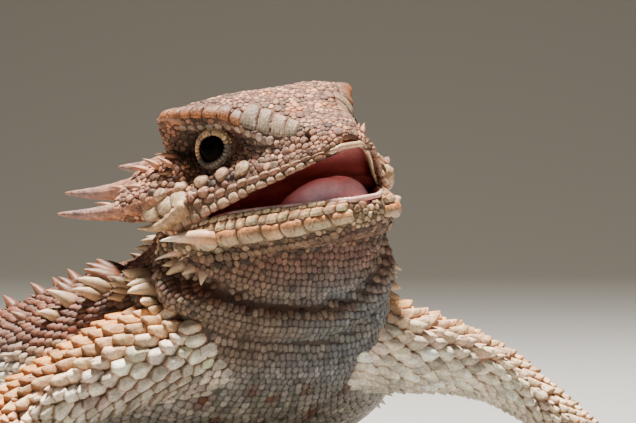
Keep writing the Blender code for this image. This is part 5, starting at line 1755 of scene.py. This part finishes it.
def limb_row(name, start, end, first, last, number, turn, length, radius):
    """Roots, tips, radii, directions and bake places of one row between two of a limb's joints."""
    lengths = lengths_along(LIMBS[name][0])
    along = lengths[start] + (lengths[end] - lengths[start]) * np.linspace(first, last, number)
    turn = np.full(number, math.radians(turn))
    place, out, _ = on_skin(limb(name, along, turn))
    onward = unit(limb(name, along + 0.1, turn) - limb(name, along - 0.1, turn))
    tip = place + length * unit(out + 0.75 * onward)
    patch = (list(LIMBS).index(name) * 0.25, 0.25)
    atlas = patch + 0.25 * np.stack([along / lengths[-1], turn / (2 * math.pi)], axis=-1)
    return place - SPINE_SUNK * out, tip, np.full(number, radius), out, atlas


rows, owners = [], []
for name in LIMBS:
    for (start, end), table in LIMB_SPINE_ROWS[name[:3]].items():
        for row in table:
            rows.append(limb_row(name, start, end, *row))
            owners += [BODY_NAMES.index(name)] * row[2]
root, tip, radius, out, spine_atlas = (np.concatenate(values) for values in zip(*rows))
low = mix(markings(root, out, np.array(owners)), ORANGE, np.full(len(root), 0.3))
high = mix(low, IVORY, np.full(len(root), 0.7))
limb_spines = mesh_from(
    "limb_spines", *spine_parts(root, tip, radius, out, low, high, spine_atlas)
)

# Spines of the head's right side: root, tip and radius, in skull and in jaw directions
SKULL_SPINES = (
    ((4.2, 10.0, 12.0), (2.0, 12.2, 13.0), 1.2),
    ((2.2, 11.4, 6.6), (1.2, 13.8, 7.2), 0.7),
    ((2.0, 12.2, 5.6), (0.4, 14.2, 6.2), 0.55),
    ((4.6, 11.4, 3.4), (3.4, 13.2, 3.4), 0.5),
    ((2.0, 11.2, 8.6), (0.6, 12.8, 9.6), 0.5),
    ((-0.6, 4.4, 11.4), (-3.0, 4.9, 12.6), 0.6),
    ((-0.2, 8.4, 10.8), (-2.4, 9.6, 12.0), 0.6),
    ((-2.4, 12.4, 8.6), (-3.8, 14.2, 10.0), 0.6), ((-4.4, 14.8, 7.6), (-6.0, 16.0, 8.6), 0.5),
    ((0.4, 12.6, 8.2), (-0.2, 14.0, 9.6), 0.6), ((2.4, 12.2, 7.6), (1.8, 13.4, 9.0), 0.5),
    ((-1.0, 14.6, 6.6), (-2.4, 16.2, 7.4), 0.5), ((-5.2, 16.6, 6.2), (-6.6, 17.8, 7.2), 0.45),
)
JAW_SPINES = (
    ((5.0, 10.7, -0.75), (1.1, 15.5, 0.1), 1.6),
    ((1.4, 12.0, -1.6), (-1.8, 15.0, -1.8), 0.85),
    ((3.0, 12.0, -2.0), (1.2, 13.8, -2.4), 0.5),
)


def head_spines(table, place_function):
    """Roots, tips and radii of a table on both sides of the head."""
    root = np.array([row[0] for row in table], float)
    tip = np.array([row[1] for row in table], float)
    radius = np.array([row[2] for row in table], float)
    root, tip = (np.concatenate([a, a * (1, -1, 1)]) for a in (root, tip))
    return place_function(root), place_function(tip), np.tile(radius, 2)


sets = [head_spines(SKULL_SPINES, from_skull), head_spines(JAW_SPINES, from_jaw)]
root, tip, radius = (np.concatenate(values) for values in zip(*sets))
out = np.tile(HEAD[2], (len(root), 1))
of_jaw = np.arange(len(root)) >= 2 * len(SKULL_SPINES)
low = mix(head_colour(root), ORANGE, np.where(of_jaw, 0.6, 0.15))
high = mix(plain(PINK * 0.7, len(root)), IVORY, np.where(of_jaw, 1.0, 0.0))
head_spine_piece = mesh_from(
    "head_spines", *spine_parts(root, tip, radius, out, low, high, head_atlas(root), 12)
)
print("spines:", len(trunk_spines.data.polygons) + len(limb_spines.data.polygons), "triangles")

# %% [markdown]
# ## Claws
#
# Each finger and toe ends in a small dark claw that curves down to the ground.

# %% Claws
CLAW_RINGS, CLAW_SIDES = 12, 12
claw_shapes = []
for name in LIMBS:
    for middle, heading in digits(name):
        at = np.linspace(3, 6, CLAW_RINGS)
        line = np.stack([glide(at, np.arange(7), middle[:, axis]) for axis in range(3)], axis=-1)
        radius = glide(at, (3, 4, 5, 6), (0.55, 0.46, 0.32, 0.08)) * DIGIT_RADIUS
        claw_shapes.append(tube_shape(ring_tube(line, radius, CLAW_SIDES, heading)))
points, faces = joined(claw_shapes)
claws = new_mesh("claws", points, faces)
share = np.tile(np.repeat(np.linspace(0, 1, CLAW_RINGS), CLAW_SIDES), len(claw_shapes))
set_tint(claws.data, mix(plain(TAUPE, len(points)), BROWN * 0.6, share))
print("claws:", len(claw_shapes))

# %% [markdown]
# ## Leaving room for eyes, nostrils and ears
#
# The lids have their own scales, so the skin's stop short of them, and none grow in the
# Nostrils and ear openings are pits: the skin is pushed in there, without scales, and painted dark
# as shade.

# %% Pits and coat pieces
NOSTRIL_PLACE, NOSTRIL_RADIUS = (16.9, 3.2, 4.3), 0.55
EAR_PLACE, EAR_RADIUS = (-1.4, 12.2, 1.2), 1.1
EYE_CLEARANCE = 2.35
folded = folded_skull(place)
clear = np.linalg.norm(folded - EYE_PLACE, axis=1) > EYE_CLEARANCE
clear &= np.linalg.norm(folded - NOSTRIL_PLACE, axis=1) > NOSTRIL_RADIUS + 0.1
clear &= np.linalg.norm(folded - EAR_PLACE, axis=1) > EAR_RADIUS
clear &= ~(in_mouth_at(place) & (kind == "plain"))
pillow_tree = search_tree(pillow_points)
clear &= np.array([pillow_tree.find(spot)[2] for spot in place]) > 0.32 * size
clear |= ~is_head
print("left out for openings:", int((~clear).sum()))
skin_folded = folded_skull(skin_points)
pit = 0.9 * near(skin_folded, NOSTRIL_PLACE, 0.8 * NOSTRIL_RADIUS)
pit = pit + 1.1 * near(skin_folded, EAR_PLACE, 0.8 * EAR_RADIUS)
sunk_points = skin_points - pit[:, None] * skin_normals
skin.data.vertices.foreach_set("co", (sunk_points * MM).astype(np.float32).ravel())
skin.data.update()
coat_tree = search_tree(place)
skin_body = body[[coat_tree.find(spot)[1] for spot in skin_points]]
ground = markings(skin_points, skin_normals, skin_body)
# The skin keeps the coat's markings, painted darker and browner as shade in the gaps between scales
ground = mix(ground * 0.4, BROWN, np.full(len(ground), 0.25))
# Painted shade in the nostril and ear pits
ground = mix(ground, BROWN * 0.25, np.clip(1.6 * pit, 0, 1))
set_tint(skin.data, ground)

# For each group of coat pieces: body parts, detail, points round a scale, number of pieces
COAT_PIECES = {
    "head_scales": (("head",), "small", 9, 2),
    "hand_scales": (("hands",), "small", 8, 1),
    "trunk_scales": (("trunk",), "small", 9, 4),
    "arm_scales": (("arm_right", "arm_left"), "large", 12, 1),
    "leg_scales": (("leg_right", "leg_left"), "large", 10, 1),
}


def coat_piece(name, chosen, detail, around, most=0.74):
    """One piece of the coat from the chosen seeds."""
    own_form = {key: values[chosen] for key, values in form.items()}
    return mesh_from(name, *plates(
        place[chosen], normal[chosen], lie[chosen], size[chosen], own_form,
        varied[chosen], atlas[chosen], detail, around, most,
    ))


coats = {}
for group, (names, detail, around, pieces) in COAT_PIECES.items():
    own = np.isin(body, [BODY_NAMES.index(name) for name in names]) & clear & (kind == "plain")
    numbers = np.flatnonzero(own)
    parts = np.array_split(numbers[np.argsort(place[numbers, 1])], pieces)
    for index, chosen in enumerate(parts):
        name = f"{group}_{index + 1}" if pieces > 1 else group
        coats[name] = coat_piece(name, chosen, detail, around)
        print(name, len(chosen), "scales,", len(coats[name].data.polygons), "triangles")
chosen = np.flatnonzero(clear & (kind != "plain"))
coats["head_shields"] = coat_piece("head_shields", chosen, "large", 20, 0.62)

# %% [markdown]
# ## Finishes
#
# Every finish takes its colour from the piece's own Tint and breaks it up with noise at two
# scales. The same noise gives a fine relief. Skin is dry, shields and horns have a little
# polish, and eyes, tongue and palate are wet.

# %% Materials
def finish(name, roughness, relief, grain, mottle=0.35, wet=0.0, soft=0.0, shine=0.4):
    """Principled shader on Tint: grain is the relief's scale in millimetres, relief its depth."""
    material = bpy.data.materials.new(name)
    material.use_nodes = True
    tree = material.node_tree
    shader = tree.nodes["Principled BSDF"]
    where = tree.nodes.new("ShaderNodeTexCoord").outputs["Object"]
    tint = tree.nodes.new("ShaderNodeAttribute")
    tint.attribute_name = "Tint"
    patches, grains = (tree.nodes.new("ShaderNodeTexNoise") for _ in range(2))
    product = tree.nodes.new("ShaderNodeMath")
    product.operation = "MULTIPLY"
    for number, (noise, length, detail, low, high, down, up) in enumerate((
        (patches, 5 * grain, 3, 0.3, 0.7, 1.0, 0.5), (grains, grain, 5, 0.35, 0.65, 0.7, 0.35),
    )):
        noise.inputs["Scale"].default_value = 1 / (length * MM)
        noise.inputs["Detail"].default_value = detail
        tree.links.new(where, noise.inputs["Vector"])
        level = tree.nodes.new("ShaderNodeMapRange")
        level.inputs["From Min"].default_value = low
        level.inputs["From Max"].default_value = high
        level.inputs["To Min"].default_value = 1 - down * mottle
        level.inputs["To Max"].default_value = 1 + up * mottle
        tree.links.new(noise.outputs["Fac"], level.inputs["Value"])
        tree.links.new(level.outputs["Result"], product.inputs[number])
    shaded = tree.nodes.new("ShaderNodeVectorMath")
    shaded.operation = "SCALE"
    tree.links.new(tint.outputs["Color"], shaded.inputs[0])
    tree.links.new(product.outputs["Value"], shaded.inputs["Scale"])
    tree.links.new(shaded.outputs["Vector"], shader.inputs["Base Color"])
    bump = tree.nodes.new("ShaderNodeBump")
    bump.inputs["Strength"].default_value = 1.0
    bump.inputs["Distance"].default_value = relief * MM
    tree.links.new(grains.outputs["Fac"], bump.inputs["Height"])
    tree.links.new(bump.outputs["Normal"], shader.inputs["Normal"])
    for key, value in {
        "Roughness": roughness, "Specular IOR Level": shine, "Coat Weight": wet,
        "Coat Roughness": 0.06, "Subsurface Weight": soft, "Subsurface Scale": 1.2 * MM,
        "Subsurface Radius": (1.0, 0.4, 0.25),
    }.items():
        shader.inputs[key].default_value = value
    return material


# Roughness, relief and grain in millimetres, mottle, wet coat, softness and shine
FINISH_TABLE = {
    "scaly_skin": (0.8, 0.05, 0.25),
    "dry_scale": (0.62, 0.07, 0.28, 0.4),
    "head_scale": (0.66, 0.1, 0.22, 0.55),
    "polished_shield": (0.52, 0.08, 0.3, 0.45, 0.0, 0.0, 0.3),
    "horn_keratin": (0.5, 0.12, 0.3, 0.5),
    "spine_keratin": (0.5, 0.03, 0.3, 0.25),
    "claw_keratin": (0.35, 0.02, 0.3, 0.2),
    "wet_mouth": (0.3, 0.04, 0.5, 0.3, 0.7, 0.3),
    "wet_tongue": (0.34, 0.02, 0.35, 0.18, 0.5, 0.4),
    "wet_eye": (0.08, 0.0, 0.5, 0.2, 0.0, 0.0, 0.012),
}
FINISHES = {name: finish(name, *values) for name, values in FINISH_TABLE.items()}
LOOKS = {skin: ("scaly_skin", "body_skin")}
for name, piece in coats.items():
    look = "head_scale" if name.startswith("head_scales") else "dry_scale"
    slot = "head_skin" if name.startswith("head") else "limb_skin"
    LOOKS[piece] = (look, "body_skin" if name.startswith("trunk") else slot)
for pieces, look, slot in (
    ((coats["head_shields"], pillow_plates), "polished_shield", "jaw_skin"),
    ((lid_scales,), "head_scale", "head_skin"),
    (lid_pieces.values(), "scaly_skin", "head_skin"),
    (eye_pieces.values(), "wet_eye", "eye"),
    (horns.values(), "horn_keratin", "horn"),
    ((trunk_spines, limb_spines, head_spine_piece), "spine_keratin", "horn"),
    ((claws,), "claw_keratin", "horn"),
    ((tongue,), "wet_tongue", "tongue"),
    ((palate, mouth_floor, gum, upper_lip), "wet_mouth", "tongue"),
):
    for piece in pieces:
        LOOKS[piece] = (look, slot)
for piece, (look, slot) in LOOKS.items():
    piece.data.materials.clear()
    piece.data.materials.append(FINISHES[look])
    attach(piece, "root")

kept_apart = ("eye", "horn", "tongue")
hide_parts(*[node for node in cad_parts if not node.startswith(kept_apart)])
for node, piece in horns.items():
    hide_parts(node)
for name, piece in eye_pieces.items():
    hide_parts(f"eye_{name}")
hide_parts("tongue")
print("pieces:", len(LOOKS))

# %% [markdown]
# ## Camera, light and floor
#
# The photograph was taken with a long lens at the animal's own height, from in front of
# its right side. The picture's middle is placed by the jaw joint, whose pixel is known. A
# small warm lamp stands above the head, a weak cool one fills from the picture's left, and
# a third lights the backdrop, which is one grey sheet with the floor.

# %% Camera, light and floor
PICTURE_WIDTH, PICTURE_MIDDLE = 636, (318.0, 211.5)
PIXELS_PER_MM, CAMERA_DISTANCE = 9.08, 350.0
CAMERA_TURN = math.radians(-32)
JAW_JOINT_PIXEL = (278.0, 221.0)
across = np.array([math.cos(CAMERA_TURN), math.sin(CAMERA_TURN), 0.0])
back = np.array([math.sin(CAMERA_TURN), -math.cos(CAMERA_TURN), 0.0])
upward = np.array([0.0, 0.0, 1.0])
aim = JAW_JOINT + across * (PICTURE_MIDDLE[0] - JAW_JOINT_PIXEL[0]) / PIXELS_PER_MM
aim = aim + upward * (JAW_JOINT_PIXEL[1] - PICTURE_MIDDLE[1]) / PIXELS_PER_MM
lens = bpy.data.cameras.new("camera")
lens.sensor_width = 36.0
lens.lens = lens.sensor_width * CAMERA_DISTANCE / (PICTURE_WIDTH / PIXELS_PER_MM)
lens.clip_start, lens.clip_end = 0.01, 20.0
camera = bpy.data.objects.new("camera", lens)
bpy.context.scene.collection.objects.link(camera)
stand = Matrix(np.stack([across, upward, back], axis=1).tolist()).to_4x4()
stand.translation = (aim + back * CAMERA_DISTANCE) * MM
camera.matrix_world = stand
bpy.context.scene.camera = camera


def soft_light(name, from_right, from_front, height, width, power, colour, behind=0.0):
    """A square light at distances in metres from the head, which faces the head or behind it."""
    lamp = bpy.data.lights.new(name, "AREA")
    lamp.size, lamp.energy, lamp.color = width, power, colour
    item = bpy.data.objects.new(name, lamp)
    bpy.context.scene.collection.objects.link(item)
    place = Vector(aim * MM + across * from_right + back * from_front + upward * height)
    item.location = place
    target = Vector(aim * MM - back * behind)
    item.rotation_euler = (target - place).to_track_quat("-Z", "Y").to_euler()


soft_light("key_light", -0.06, -0.02, 0.55, 0.06, 21.0, (1.0, 0.93, 0.84))
soft_light("fill_light", -0.9, 0.3, 0.3, 0.4, 0.6, (0.8, 0.9, 1.0))
soft_light("backdrop_light", 0.0, -0.9, 0.9, 0.8, 6.0, (1.0, 0.83, 0.56), 2.2)
world = bpy.data.worlds.new("studio")
bpy.context.scene.world = world
world.use_nodes = True
sky = world.node_tree.nodes["Background"]
sky.inputs["Color"].default_value = (0.6, 0.76, 1.0, 1)
sky.inputs["Strength"].default_value = 0.06

FLAT_SHARE, FLAT_REACH, CURVE_RADIUS = 0.55, 1.2, 1.0
along = np.linspace(0, 1, 60)[:, None]
sweep = np.clip((along - FLAT_SHARE) / (1 - FLAT_SHARE), 0, 1) * math.pi / 2
flat = FLAT_REACH * (2 * along / FLAT_SHARE - 1)
away = np.where(along < FLAT_SHARE, flat, FLAT_REACH + CURVE_RADIUS * np.sin(sweep))
rise = np.where(along < FLAT_SHARE, 0.0, CURVE_RADIUS * (1 - np.cos(sweep)))
wide = np.linspace(-2.5, 2.5, 20)[None, :]
sheet = wide[..., None] * across - away[..., None] * back + (rise + 0 * wide)[..., None] * upward
floor_points = sheet.reshape(-1, 3) / MM - (0, 0, 0.05)
floor = mesh_from("floor_sheet", floor_points, grid_quads(60, 20, False))
paper = bpy.data.materials.new("pale_paper")
paper.use_nodes = True
sheet_shader = paper.node_tree.nodes["Principled BSDF"]
sheet_shader.inputs["Base Color"].default_value = (0.34, 0.34, 0.335, 1)
sheet_shader.inputs["Roughness"].default_value = 0.9
floor.data.materials.append(paper)
